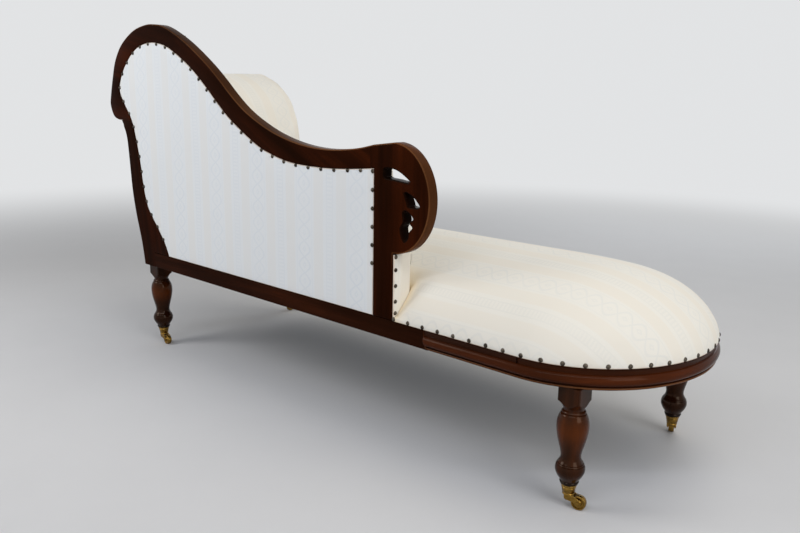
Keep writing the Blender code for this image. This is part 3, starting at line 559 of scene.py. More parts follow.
def math_method(operation: str, swapped: bool = False) -> Callable[..., "Value"]:
    """A method that puts a value and others through a Math node, the value last if swapped."""
    def method(value: "Value", *others: Number) -> "Value":
        """Add the node."""
        inputs = (*others, value) if swapped else (value, *others)
        return value.graph.node("ShaderNodeMath", {"operation": operation}, *inputs)
    return method


class Value:
    """A shader socket in a sum: each operator adds the Math node that it needs."""

    def __init__(self, graph: "Graph", socket: NodeSocket) -> None:
        """Wrap a socket of a graph."""
        self.graph, self.socket = graph, socket

    __add__ = __radd__ = math_method("ADD")
    __mul__ = __rmul__ = math_method("MULTIPLY")
    __sub__, __rsub__ = math_method("SUBTRACT"), math_method("SUBTRACT", swapped=True)
    __pow__, __abs__, sine = math_method("POWER"), math_method("ABSOLUTE"), math_method("SINE")
    least, most, wrap = math_method("MINIMUM"), math_method("MAXIMUM"), math_method("WRAP")

    def near_zero(self, width: float) -> "Value":
        """Signed distance to the nearest multiple of a width."""
        return self.wrap(width / 2, -width / 2)

    def step(self, low: float, high: float) -> "Value":
        """Smooth step from 0 at low to 1 at high."""
        settings = {"interpolation_type": "SMOOTHSTEP"}
        return self.graph.node("ShaderNodeMapRange", settings, self, low, high, 0.0, 1.0)

    def band(self, width: float, soft: float) -> "Value":
        """1 where this is under a width, easing to 0 within a soft border."""
        return 1.0 - self.step(width, width + soft)


class Graph:
    """The nodes of one material, or of the world."""

    def __init__(self, owner: Union[str, World]) -> None:
        """Start a material of this name with a Principled shader, or take up a world's nodes."""
        self.material = bpy.data.materials.new(owner) if isinstance(owner, str) else owner
        self.material.use_nodes = True
        self.tree = self.material.node_tree
        self.shader = self.tree.nodes.get("Principled BSDF")

    def node(self, kind: str, settings: Optional[dict] = None, *inputs: object,
             output: Union[int, str] = 0, **named: object) -> Value:
        """Add a node of any kind.

        Args:
            kind: The node's type.
            settings: Its settings, which are set first.
            inputs: Values or links in the sockets' order; None leaves one as it is.
            output: Which output is returned.
            named: Values or links by socket name, with _ for a space.

        Returns:
            The output.
        """
        made = self.tree.nodes.new(kind)
        for key, value in (settings or {}).items():
            setattr(made, key, value)
        sockets = [s for s in made.inputs if s.enabled]
        wired = list(zip(sockets, inputs)) + [
            (next(s for s in sockets if s.name == key.replace("_", " ")), value)
            for key, value in named.items()]
        for socket, value in wired:
            self._feed(socket, value)
        outputs = [s for s in made.outputs if s.enabled]
        chosen = outputs[output] if isinstance(output, int) else made.outputs[output]
        return Value(self, chosen)

    def _feed(self, socket: NodeSocket, value: object) -> None:
        """Link a value to a socket, or set a number or colour on it."""
        if value is None:
            return
        if isinstance(value, Value):
            self.tree.links.new(value.socket, socket)
        elif isinstance(value, tuple):
            size = len(socket.default_value)
            socket.default_value = (*value, 1.0)[:size] if size == 4 else value
        else:
            socket.default_value = value

    def place(self) -> Value:
        """The point's object coordinates."""
        return self.node("ShaderNodeTexCoord", output="Object")

    def mapped(self, vector: Value, scale: Sequence[float] = (1.0,) * 3,
               turn: Sequence[float] = (0.0,) * 3, shift: Sequence[float] = (0.0,) * 3) -> Value:
        """Places stretched, turned by angles in degrees and shifted."""
        angles = tuple(math.radians(a) for a in turn)
        return self.node("ShaderNodeMapping", {"vector_type": "POINT"}, vector, Location=tuple(shift),
                         Rotation=angles, Scale=tuple(scale))

    def parts(self, vector: Value) -> tuple[Value, Value, Value]:
        """The X, Y and Z of a vector."""
        made = self.node("ShaderNodeSeparateXYZ", None, vector).socket.node
        return tuple(Value(self, made.outputs[k]) for k in range(3))

    def attribute(self, name: str) -> Value:
        """A mesh attribute as a vector."""
        return self.node("ShaderNodeAttribute", {"attribute_name": name}, output="Vector")

    def noise(self, vector: Value, scale: float, detail: float = 3.0, rough: float = 0.5) -> Value:
        """Smooth noise about 0.5."""
        return self.node("ShaderNodeTexNoise", None, Vector=vector, Scale=scale, Detail=detail,
                         Roughness=rough)

    def mix(self, share: Number, first: object, second: object) -> Value:
        """Mix two colours."""
        return self.node("ShaderNodeMix", {"data_type": "RGBA"}, share, first, second)

    def bump(self, height: Value, distance: float, strength: float = 1.0,
             below: Optional[Value] = None) -> Value:
        """A bumped normal from a height between 0 and 1."""
        return self.node("ShaderNodeBump", None, Strength=strength, Distance=distance,
                         Height=height, Normal=below)

    def dress(self, **sockets: object) -> Material:
        """Set or link the shader's sockets, by name with _ for a space.

        Returns:
            The finished material.
        """
        for key, value in sockets.items():
            self._feed(self.shader.inputs[key.replace("_", " ")], value)
        return self.material


def linear(red: int, green: int, blue: int) -> Colour:
    """A display colour from 0 to 255 as linear light."""
    def curve(level: int) -> float:
        """One channel by the display standard's formula."""
        share = level / 255
        return share / 12.92 if share <= 0.04045 else ((share + 0.055) / 1.055) ** 2.4
    return curve(red), curve(green), curve(blue)


# Finishes


@dataclass(frozen=True)
class Polish:
    """French-polished mahogany: dark red ribbon grain, pores and a thin gloss."""

    name: str
    turn: tuple[float, float, float] = (0.0, 0.0, 0.0)
    dark: Colour = linear(28, 9, 2)
    body: Colour = linear(46, 17, 5)
    warm: Colour = linear(80, 32, 10)
    highlight_and_wear: Colour = linear(150, 100, 62)
    painted_shade: Colour = linear(14, 8, 5)
    stain: Colour = linear(20, 10, 6)
    sheen: Colour = (1.0, 0.64, 0.38)
    roughness: float = 0.20
    gloss: float = 0.012
    coat: float = 0.003
    follows: bool = False
    stain_below: float = 0.0
    stain_border: Pair = (-0.003, 0.002)
    ripple_depth: float = 0.00010
    seed: float = 0.0

    def material(self) -> Material:
        """Make the material: the grain runs along the turned X axis, or along the piece."""
        g = Graph(self.name)
        along = g.attribute("grain") if self.follows else g.mapped(g.place(), turn=self.turn)
        shift = (self.seed, self.seed * 0.7, 0.0)
        ribbon = g.noise(g.mapped(along, (1.6, 24.0, 24.0), shift=shift), 1.0, 4.0, 0.55)
        cloud = g.noise(g.place(), 3.1, 2.0, 0.5)
        tone = (ribbon * 0.7 + cloud * 0.3).step(0.34, 0.66)
        colour = g.mix(tone, self.dark, self.body)
        colour = g.mix((ribbon.step(0.50, 0.74) * cloud.step(0.40, 0.66)) * 0.6, colour, self.warm)
        pore = g.noise(g.mapped(along, (46.0, 1100.0, 1100.0)), 1.0, 2.0, 0.6).step(0.60, 0.72)
        colour = g.mix(pore * 0.35, colour, self.dark)
        rim, recess_shade_mask, _ = g.parts(g.attribute("rim"))
        # Painted highlight where the "rim" attribute's first value is set: the pale line on the boards'
        # outer rims, the moulding's bead and the glow on the legs' bulbs.
        colour = g.mix(rim * (cloud.step(0.30, 0.62) * 0.5 + 0.3), colour, self.highlight_and_wear)
        # Painted shade where the "rim" attribute's second value is set: on the walls of the piercings and
        # in the moulding's hollow.
        colour = g.mix(recess_shade_mask * 0.8, colour, self.painted_shade)
        if self.stain_below:
            _, _, height = g.parts(g.place())
            low, high = (self.stain_below + step for step in self.stain_border)
            colour = g.mix(1.0 - height.step(low, high), colour, self.stain)
        handling = g.noise(g.place(), 38.0, 3.0, 0.6)
        rough = handling * 0.10 + cloud * 0.08 + (self.roughness - 0.09)
        height = g.noise(g.place(), 95.0, 2.0, 0.5) * 0.25 + (1.0 - pore) * 0.4
        return g.dress(Base_Color=colour, Roughness=rough, Normal=g.bump(height, self.ripple_depth, 0.4),
                       Specular_IOR_Level=self.gloss, Specular_Tint=self.sheen,
                       Coat_Weight=self.coat, Coat_Roughness=0.08, IOR=1.48)


@dataclass(frozen=True)
class Beech:
    """Plain beech of the hidden frame, raw and dusty."""

    name: str = "beech_frame"
    pale: Colour = linear(196, 158, 114)
    deep: Colour = linear(160, 120, 80)
    fleck_depth: float = 0.0003

    def material(self) -> Material:
        """Make the material with fine flecks along Y."""
        g = Graph(self.name)
        grain = g.noise(g.mapped(g.place(), (22.0, 2.0, 22.0)), 1.0, 4.0, 0.6)
        fleck = g.noise(g.mapped(g.place(), (420.0, 60.0, 420.0)), 1.0, 1.0, 0.5)
        colour = g.mix(grain.step(0.35, 0.68), self.pale, self.deep)
        colour = g.mix(fleck.step(0.60, 0.70) * 0.3, colour, self.deep)
        return g.dress(Base_Color=colour, Roughness=grain * 0.15 + 0.60,
                       Normal=g.bump(grain, self.fleck_depth, 0.4))


@dataclass(frozen=True)
class Damask:
    """Cream damask stripe: chain stripes, satin bands and laddered pin stripes, tone on tone.

    The attribute "cloth" holds metres along the stripe, across it and from the cloth's folded
    border. Lines are given by half width and soft border.
    """

    name: str
    ground: Colour = linear(238, 234, 224)
    ribbon: Colour = linear(226, 225, 219)
    satin: Colour = linear(236, 227, 211)
    ladder: Colour = linear(227, 225, 217)
    hem: Colour = linear(226, 205, 184)
    shade: Colour = linear(240, 214, 166)
    pitch: float = 0.18
    phase: float = 0.0
    link: float = 0.040
    thread: float = 0.0009
    waver: float = 0.0016
    chain_half: float = 0.020
    chain_line: Pair = (0.0012, 0.0042)
    chain_border: Pair = (0.024, 0.002)
    petal: Pair = (0.0075, 0.0105)
    seed: Pair = (0.0030, 0.0042)
    edge_at: float = 0.0275
    edge_line: Pair = (0.0004, 0.0020)
    satin_start: Pair = (0.032, 0.037)
    satin_end: Pair = (0.065, 0.070)
    pin_at: float = 0.0105
    pin_line: Pair = (0.0006, 0.0018)
    rung: float = 0.0095
    rung_line: Pair = (0.0012, 0.0022)
    rung_start: Pair = (0.0100, 0.0080)
    hem_width: Pair = (0.0008, 0.0026)
    weave_depth: float = 0.00012
    figure_depth: float = 0.00022

    def material(self) -> Material:
        """Make the material."""
        g = Graph(self.name)
        along, across, border = g.parts(g.attribute("cloth"))
        waver = g.noise(g.place(), 60.0, 2.0, 0.5) * self.waver - self.waver / 2
        offset = (across + waver - self.phase).near_zero(self.pitch)
        reach = abs(offset)
        wave = (along * (math.pi / self.link)).sine() * self.chain_half
        ribbon = abs(offset - wave).least(abs(offset + wave)).band(*self.chain_line)
        ribbon = ribbon * reach.band(*self.chain_border)
        in_link = abs((along + self.link / 2).near_zero(self.link))
        petal, seed = (reach * (1 / size[0]) + in_link * (1 / size[1]) for size in (self.petal, self.seed))
        floret = (1.0 - petal.step(0.62, 1.1)) * seed.step(0.6, 1.1)
        edge_line = abs(reach - self.edge_at).band(*self.edge_line)
        satin = reach.step(*self.satin_start) * (1.0 - reach.step(*self.satin_end))
        half = self.pitch / 2
        pins = abs(reach - (half - self.pin_at)).band(*self.pin_line)
        rung = abs(along.near_zero(self.rung)).band(*self.rung_line)
        rung = rung * reach.step(*(half - start for start in self.rung_start))
        ladder = pins.most(rung * 0.8)
        figure = (ribbon + floret * 0.8 + edge_line * 0.6).least(1.0)
        # Here the figure fades in random patches of wear.
        highlight_and_wear = g.noise(g.place(), 7.0, 3.0, 0.6).step(0.25, 0.75) * 0.5 + 0.5
        colour = g.mix(satin * 0.45, self.ground, self.satin)
        colour = g.mix(figure * highlight_and_wear * 0.6, colour, self.ribbon)
        colour = g.mix(ladder * highlight_and_wear * 0.55, colour, self.ladder)
        # Random darker patches of wear.
        painted_light_and_wear = g.noise(g.place(), 4.0, 3.0, 0.5)
        colour = g.mix(painted_light_and_wear.step(0.45, 0.72) * 0.3, colour, tuple(c * 0.965 for c in self.ground))
        warp, weft = (abs((way * (math.pi / self.thread)).sine()) for way in (across, along))
        weave = (warp * (1.0 - satin * 0.7) + weft) * 0.5
        colour = g.mix((1.0 - weave) * 0.06, colour, tuple(c * 0.85 for c in self.ground))
        colour = g.mix((1.0 - border.step(*self.hem_width)) * 0.8, colour, self.hem)
        # Painted shade: a warm tone in the crease beside the back pad.
        crease, _, _ = g.parts(g.attribute("crease"))
        colour = g.mix(crease, colour, self.shade)
        slub = g.noise(g.place(), 130.0, 2.0, 0.6)
        fine = g.bump(weave * 0.6 + slub * 0.3, self.weave_depth, 0.4)
        raised = g.bump(figure + ladder * 0.7 + satin * 0.25, self.figure_depth, 0.4, fine)
        rough = 0.90 - figure * 0.10 - satin * 0.10 - ladder * 0.05
        return g.dress(Base_Color=colour, Roughness=rough, Normal=raised, Sheen_Weight=0.12,
                       Sheen_Roughness=0.5, Specular_IOR_Level=0.25)


@dataclass(frozen=True)
class Jute:
    """Jute webbing with its herringbone weave."""

    name: str = "jute_webbing"
    pale: Colour = linear(188, 158, 112)
    deep: Colour = linear(128, 98, 60)
    bone: float = 0.014
    rib: float = 0.0024
    depth: float = 0.0006

    def material(self) -> Material:
        """Make the material."""
        g = Graph(self.name)
        x, y, _ = g.parts(g.place())
        rib = abs(((abs(x.near_zero(self.bone)) + y) * (math.pi / self.rib)).sine())
        fuzz = g.noise(g.place(), 260.0, 3.0, 0.6)
        return g.dress(Base_Color=g.mix((rib * 0.7 + fuzz * 0.3), self.deep, self.pale),
                       Roughness=fuzz * 0.1 + 0.85, Normal=g.bump(rib + fuzz * 0.5, self.depth, 0.8))


@dataclass(frozen=True)
class DustCloth:
    """Black dust cloth under the seat, thin and slightly faded."""

    name: str = "dust_cloth"
    black: Colour = linear(28, 28, 29)
    faded: Colour = linear(46, 45, 44)
    thread: float = 0.0012
    depth: float = 0.0002

    def material(self) -> Material:
        """Make the material."""
        g = Graph(self.name)
        x, y, _ = g.parts(g.place())
        warp, weft = (abs((way * (math.pi / self.thread)).sine()) for way in (x, y))
        fade = g.noise(g.place(), 5.0, 4.0, 0.6)
        return g.dress(Base_Color=g.mix(fade.step(0.4, 0.7), self.black, self.faded),
                       Roughness=fade * 0.08 + 0.86, Normal=g.bump((warp + weft) * 0.5, self.depth, 0.6))


@dataclass(frozen=True)
class Brass:
    """Aged brass with dull brown in patches, or bronze when darker."""

    name: str
    bright: Colour = linear(150, 117, 54)
    dull: Colour = linear(66, 47, 20)
    roughness: float = 0.22
    tarnish: float = 0.5
    depth: float = 0.00025

    def material(self) -> Material:
        """Make the material."""
        g = Graph(self.name)
        patch = g.noise(g.place(), 90.0, 4.0, 0.65)
        fine = g.noise(g.place(), 520.0, 2.0, 0.6)
        age = patch.step(0.50 - 0.2 * self.tarnish, 0.86 - 0.25 * self.tarnish)
        return g.dress(Base_Color=g.mix(age * self.tarnish + fine * 0.1, self.bright, self.dull),
                       Metallic=1.0, Roughness=age * 0.22 + fine * 0.08 + self.roughness,
                       Normal=g.bump(patch * 0.6 + fine * 0.4, self.depth, 0.35))


# What every sub-assembly needs


@dataclass(frozen=True)
class Chassis:
    """Main sizes of the seat frame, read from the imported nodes."""

    underside: float
    rail_top: float
    half_depth: float
    bow_x: float
    bow_length: float
    lap_x: float
    projection: float

    @classmethod
    def read(cls) -> "Chassis":
        """Read the sizes from the back rail and the mouldings."""
        rail_low, rail_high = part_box("seat_rail_back")
        bow_low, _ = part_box("rail_moulding_bow")
        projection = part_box("rail_moulding_back")[1].y - rail_high.y
        return cls(underside=rail_low.z, rail_top=rail_high.z, half_depth=rail_high.y,
                   bow_x=rail_low.x, bow_length=rail_low.x - bow_low.x - projection,
                   lap_x=rail_high.x, projection=projection)

    def bow(self, steps: int, level: float = 0.0) -> tuple[Array, Array]:
        """Places round the bow from back to front, and their outward directions.

        At angle a from 90 to 270 degrees they are the bow's centre plus (length cos a,
        depth sin a), and (cos a / length, sin a / depth) made unit.

        Args:
            steps: Pieces that the half turn is cut into.
            level: Height of the places.
        """
        a = np.linspace(math.pi / 2, 3 * math.pi / 2, steps + 1)
        outward = columns(np.cos(a) / self.bow_length, np.sin(a) / self.half_depth, 0 * a)
        place = columns(self.bow_x + self.bow_length * np.cos(a), self.half_depth * np.sin(a),
                        0 * a + level)
        return place, unit(outward)


def mount(obj: Object, material: Material, body: str = "frame",
          nodes: Iterable[str] = ()) -> Object:
    """Dress a new piece that stands for nodes and let it ride on its body."""
    obj.data.materials.clear()
    obj.data.materials.append(material)
    if nodes:
        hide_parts(*nodes)
    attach(obj, body)
    log.info("%s: %d faces, rides on %s", obj.name, len(obj.data.polygons), body)
    return obj


def paint_node(name: str, material: Material) -> None:
    """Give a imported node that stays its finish."""
    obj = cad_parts[name]
    obj.data.materials.clear()
    obj.data.materials.append(material)
    log.info("%s: kept, finish %s", name, material.name)


# Show wood


@dataclass
class ShowBoards:
    """The boards of the back frame, the front facing and the plain rail, with rounded rims."""

    steps: int = 4
    edge: float = 0.0032
    joint_gap: float = 0.00013
    margin: float = 0.0001
    facing_margin: float = 0.0025
    hole_closing: float = 0.0013
    highlight_above: float = 0.455
    panel_border: float = 0.008
    face_depth: float = 0.00001
    rail_edge: float = 0.0012
    stop_edge: float = 0.0005
    stop_gap: float = 0.0004
    grain: dict[str, float] = field(default_factory=lambda: {
        "crest_rail": 27.0, "crest_arch": 10.0, "back_stile": 84.0, "back_scroll_post": 90.0,
        "head_facing": 80.0})

    def build(self) -> None:
        """Make each upright board from its node's outline: rounded rims, but square joints."""
        outlines = {name: outline(name) for name in self.grain}
        outlines["head_facing"][0] = unfolded(outlines["head_facing"][0])
        for number, (name, angle) in enumerate(self.grain.items()):
            low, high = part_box(name)
            loops = [resample(loop, self.steps, closed=True) for loop in outlines[name]]
            joint = joint_edges(loops[0], [rings[0] for key, rings in outlines.items() if key != name])
            margin = self.facing_margin if name == "head_facing" else self.margin
            loops[0] = inset(loops[0], np.where(joint, -self.joint_gap, margin))
            for hole in range(1, len(loops)):
                closed = [inset(loops[hole], side * self.hole_closing) for side in (1, -1)]
                loops[hole] = min(closed, key=lambda loop: abs(signed_area(loop)))
            shell = board(loops, low.y, high.y, Axis.ACROSS, self.edge,
                          round_share=np.where(joint, 0.0, 1.0))
            finish = Polish(f"mahogany_{name}", turn=(0.0, angle, 0.0), seed=3.7 * number)
            obj = shell.build(f"{name}_wood")
            store(obj.data, "rim", *self.painted_light_and_wear(coordinates(obj.data), loops, low.y, high.y))
            mount(obj, finish.material(), nodes=[name])

    def painted_light_and_wear(self, points: Array, loops: list[Array], low: float, high: float) -> tuple[Array, Array]:
        """Painted highlight on a board's outer rims and painted shade in its holes, both between 0 and 1.

        Args:
            points: The board's points.
            loops: Its outline, then its holes.
            low: Y of its inner face.
            high: Y of its outer face.
        """
        flat = points[:, [0, 2]]
        depth = np.minimum(high - points[:, 1], points[:, 1] - low)
        panel = outline("outside_back_panel")[0]
        # Painted highlight: a pale line on the outer rims above a height, away from the panel.
        outer = (distance_to(loops[0], flat) < 1.2 * self.edge) & (flat[:, 1] > self.highlight_above)
        outer &= distance_to(panel, flat) > self.panel_border
        rim = np.where(depth < 0.45 * self.edge, 0.55, 0.26)
        highlight_and_wear = np.where(depth < self.face_depth, 0.0, rim) * outer
        # Painted shade on the walls of the holes.
        hole = np.zeros(len(points))
        for loop in loops[1:]:
            near = distance_to(loop, flat) < 1.3 * self.edge
            hole = np.maximum(hole, near & (depth > self.face_depth))
        return highlight_and_wear, hole

    def plain_rail(self, length: float, height: float, depth: float) -> None:
        """The back rail: flat from the stile to the stopped moulding, with a rounded stop corner.

        Args:
            length: Length of the stop's quarter ellipse.
            height: Its height.
            depth: Thickness of the wood beside the moulding.
        """
        low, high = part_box("seat_rail_back")
        shell = board(outline("seat_rail_back", Axis.UP)[:1], low.z, high.z, Axis.UP, self.rail_edge, 4)
        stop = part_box("rail_moulding_back")[1].x + self.stop_gap
        a = np.linspace(0, math.pi / 2, 12)
        corner = columns(stop - length * (1 - np.sin(a)), low.z + height * (1 - np.cos(a)))
        corner = anticlockwise(np.vstack([corner, [[stop, low.z]]]))
        shell.take(board([corner], high.y - depth, high.y, Axis.ACROSS, self.stop_edge, 3))
        finish = Polish("mahogany_back_rail", dark=linear(33, 14, 6), body=linear(54, 25, 12),
                        warm=linear(88, 40, 18), seed=21.0)
        mount(shell.build("seat_rail_back_wood"), finish.material(),
              nodes=["seat_rail_back"])


@dataclass
class RailMouldings:
    """Bead, bullnose and hollow along the front, round the bow and stopped on the back rail."""

    chassis: Chassis
    thickness: float = 0.0137
    bead_height: float = 0.0060
    nose_low: float = 0.0075
    nose_high: float = 0.0295
    quirk: float = 0.0035
    fillet: float = 0.0012
    lip: float = 0.0006
    arris: float = 0.0004
    joint: float = 0.00003
    stop_rise: float = 0.0045
    stop_height: float = 0.0300
    stop_length: float = 0.0125
    stop_settled: float = 0.004
    shaded_hollow: Pair = (0.0303, 0.0425)
    painted_light_and_wear: float = 0.45

    def section(self) -> Array:
        """Closed section, out from the rail's flat face and up from its underside.

        Bead and bullnose are half rounds; the hollow is a quarter round from the quirk upwards.
        """
        depth = self.chassis.projection + self.quirk
        height = self.chassis.rail_top - self.chassis.underside
        rounds = np.vstack([half_round(0.0, self.bead_height, self.quirk, 8),
                            half_round(self.nose_low, self.nose_high, depth, 16)])
        foot = self.nose_high + self.fillet
        a = np.linspace(0, math.pi / 2, 9)
        hollow = columns(-self.quirk + (self.quirk - self.lip) * (1 - np.cos(a)),
                         foot + (height - self.fillet - foot) * np.sin(a))
        top = [[-self.arris, height - self.arris], [-self.fillet, height],
               [-self.thickness, height], [-self.thickness, 0.0]]
        return np.vstack([rounds - [self.quirk, 0.0], hollow, top])

    def run(self, node: str, path: Array, outward: Array, stopped: bool = False) -> None:
        """Make one length of moulding with closed ends.

        At a stopped end height h starts l (1 - sqrt(1 - (1 - h / k)^2)) further along, a quarter
        ellipse l long and k high.

        Args:
            node: Node that it replaces.
            path: Places along the rail's flat face at its underside.
            outward: Outward directions there.
            stopped: Whether its first end stops on the rail.
        """
        section = self.section()
        if stopped:
            path, outward, rise = self.stop(path, outward)
        grid = swept(section, path, outward)
        if stopped:
            worked = np.where(section[:, 0] > -0.9 * self.thickness, section[:, 0], 0.0)
            grid -= outward[:, None, :] * (worked[None, :] * (1 - rise[:, None]))[:, :, None]
            below = np.clip(1.0 - section[:, 1] / self.stop_height, 0.0, 1.0)
            late = self.stop_length * (1.0 - np.sqrt(1.0 - below ** 2))
            ahead = unit(path[-1] - path[0])
            grid[:-1] += ahead * late[None, :, None]
        shell = Shell().add_grid(grid, wrap_columns=True).add(*fan(grid[0])).add(*fan(grid[-1]))
        # Lighter than the boards' mahogany: partly the wood's tone, partly painted highlight for the
        # nose's broad soft highlight.
        finish = Polish(f"mahogany_{node}_wood", warm=linear(134, 64, 24), body=linear(86, 38, 13),
                        dark=linear(40, 16, 5), gloss=0.06, coat=0.06, follows=True, seed=5.0)
        obj = shell.build(f"{node}_wood", sharp=38.0)
        points = coordinates(obj.data)
        store(obj.data, "grain", *self.grain(points))
        height = points[:, 2] - self.chassis.underside
        # Painted highlight on the bead's face and painted shade in the hollow above the nose.
        bead = (height > self.fillet) & (height < self.bead_height - self.fillet)
        hollow = (height > self.shaded_hollow[0]) & (height < self.shaded_hollow[1])
        store(obj.data, "rim", self.painted_light_and_wear * bead, self.painted_light_and_wear * hollow)
        mount(obj, finish.material(), nodes=[node])

    def grain(self, points: Array) -> tuple[Array, Array, Array]:
        """Places in the grain: length round the rail, distance out and height."""
        c = self.chassis
        steps = 400
        run = arc_lengths(c.bow(steps)[0])
        angle = np.arctan2(points[:, 1] / c.half_depth, (points[:, 0] - c.bow_x) / c.bow_length)
        turn = np.mod(angle - math.pi / 2, 2 * math.pi)
        length = np.interp(turn, np.linspace(0, math.pi, steps + 1), run)
        behind = points[:, 0] - c.bow_x
        length = np.where(behind > 0, np.where(points[:, 1] > 0, -behind, run[-1] + behind), length)
        out = np.where(behind > 0, np.abs(points[:, 1]),
                       c.half_depth * np.hypot(points[:, 1] / c.half_depth, behind / c.bow_length))
        return length, out, points[:, 2]

    def stop(self, path: Array, outward: Array) -> tuple[Array, Array, Array]:
        """Places, outward directions and the shares of the projection at a quarter-round start."""
        away = unit(path[1] - path[0])
        a = np.linspace(0, math.pi / 2, 9)
        near = path[0] + (self.stop_rise * (1 - np.cos(a)))[:, None] * away
        path = np.vstack([near, near[-1:] + away * self.stop_settled, path[1:]])
        outward = np.repeat(outward[:1], len(path), axis=0)
        return path, outward, np.concatenate([np.sin(a), [1.0, 1.0]])

    def build(self) -> None:
        """Make the three lengths."""
        c = self.chassis
        for node, side in (("rail_moulding_back", 1), ("rail_moulding_front", -1)):
            ends = np.array([[x, side * c.half_depth, c.underside]
                             for x in (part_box(node)[1].x, c.bow_x)])
            self.run(node, ends, np.array([[0.0, side, 0.0]] * 2), stopped=side > 0)
        place, outward = c.bow(96, c.underside)
        place[[0, -1], 0] -= self.joint
        self.run("rail_moulding_bow", place, outward)


# Legs and castors


@dataclass
class Leg:
    """A turned leg: square block, dome, neck, vase, rings and foot, with incised lines.

    Heights and radii are listed downwards in millimetres: the head's from the rail's underside,
    the turning's from the floor.
    """

    corner: str
    underside: float
    steps: int = 96
    half_block: float = 0.024
    waist: float = 0.2085
    belly: float = 0.168
    painted_glow_reach: float = 0.024
    head: Outline = ((-0.3, 0.0), (-0.3, 10.0), (-0.3, 50.0), (-10.3, 50.0))
    turning: Outline = (
        (228.0, 40.0), (226.6, 34.0), (225.6, 31.4), (223.8, 28.9), (221.5, 26.9), (218.5, 24.9),
        (215.3, 22.9), (212.2, 21.3), (209.6, 20.5), (208.3, 20.5), (207.6, 21.3), (206.3, 22.7),
        (204.6, 23.8), (203.2, 24.1), (202.5, 23.9), (202.0, 23.0), (201.5, 23.9), (200.5, 25.0),
        (198.5, 26.2), (195.8, 27.4), (191.0, 29.2), (186.5, 30.4), (180.0, 31.3), (174.2, 31.5),
        (168.5, 31.3), (162.9, 30.8), (154.5, 29.5), (146.6, 27.9), (138.5, 25.9), (130.6, 23.8),
        (124.5, 22.2), (118.7, 20.9), (114.8, 20.2), (111.5, 20.0), (108.0, 20.2), (104.9, 21.0),
        (101.8, 22.5), (99.1, 24.2), (97.6, 25.2), (97.0, 24.4), (96.4, 25.8), (94.2, 27.2),
        (93.6, 26.3), (93.0, 27.7), (89.0, 29.0), (84.3, 29.5), (79.5, 29.0), (75.5, 27.7),
        (71.0, 25.6), (67.2, 23.2), (63.5, 20.7), (60.6, 19.0), (58.6, 18.2), (57.8, 18.8),
        (56.6, 19.3), (55.6, 18.9), (55.0, 18.2), (53.5, 18.0), (51.9, 17.2), (51.8, 14.2),
        (44.0, 12.4), (43.9, 0.0))

    def build(self, finish: Material) -> None:
        """Make the leg on its node's axis.

        Its radius is the lesser of the turned one and the square's half / max(|cos a|, |sin a|),
        with softened corners, so that the turning cuts a round shoulder into the square.
        """
        name = f"leg_{self.corner}"
        profile = np.vstack([metres(self.head, self.underside),
                             resample(metres(self.turning), 3, corner=40.0)])
        a = np.linspace(0, 2 * math.pi, self.steps, endpoint=False)
        rim = np.minimum(self.half_block / np.maximum(np.abs(np.cos(a)), np.abs(np.sin(a))),
                         self.half_block * 1.37)
        limit = np.where(profile[:, :1] > self.waist, rim, math.inf)
        shell = turned(profile[:, ::-1], self.steps, upright_axis(name), limit=limit)
        obj = shell.build(f"{name}_wood", sharp=34.0)
        level = coordinates(obj.data)[:, 2]
        # Painted highlight: a lighter glow round the bulb's belly.
        store(obj.data, "rim", 0.27 * np.exp(-((level - self.belly) / self.painted_glow_reach) ** 2))
        mount(obj, finish, nodes=[name])


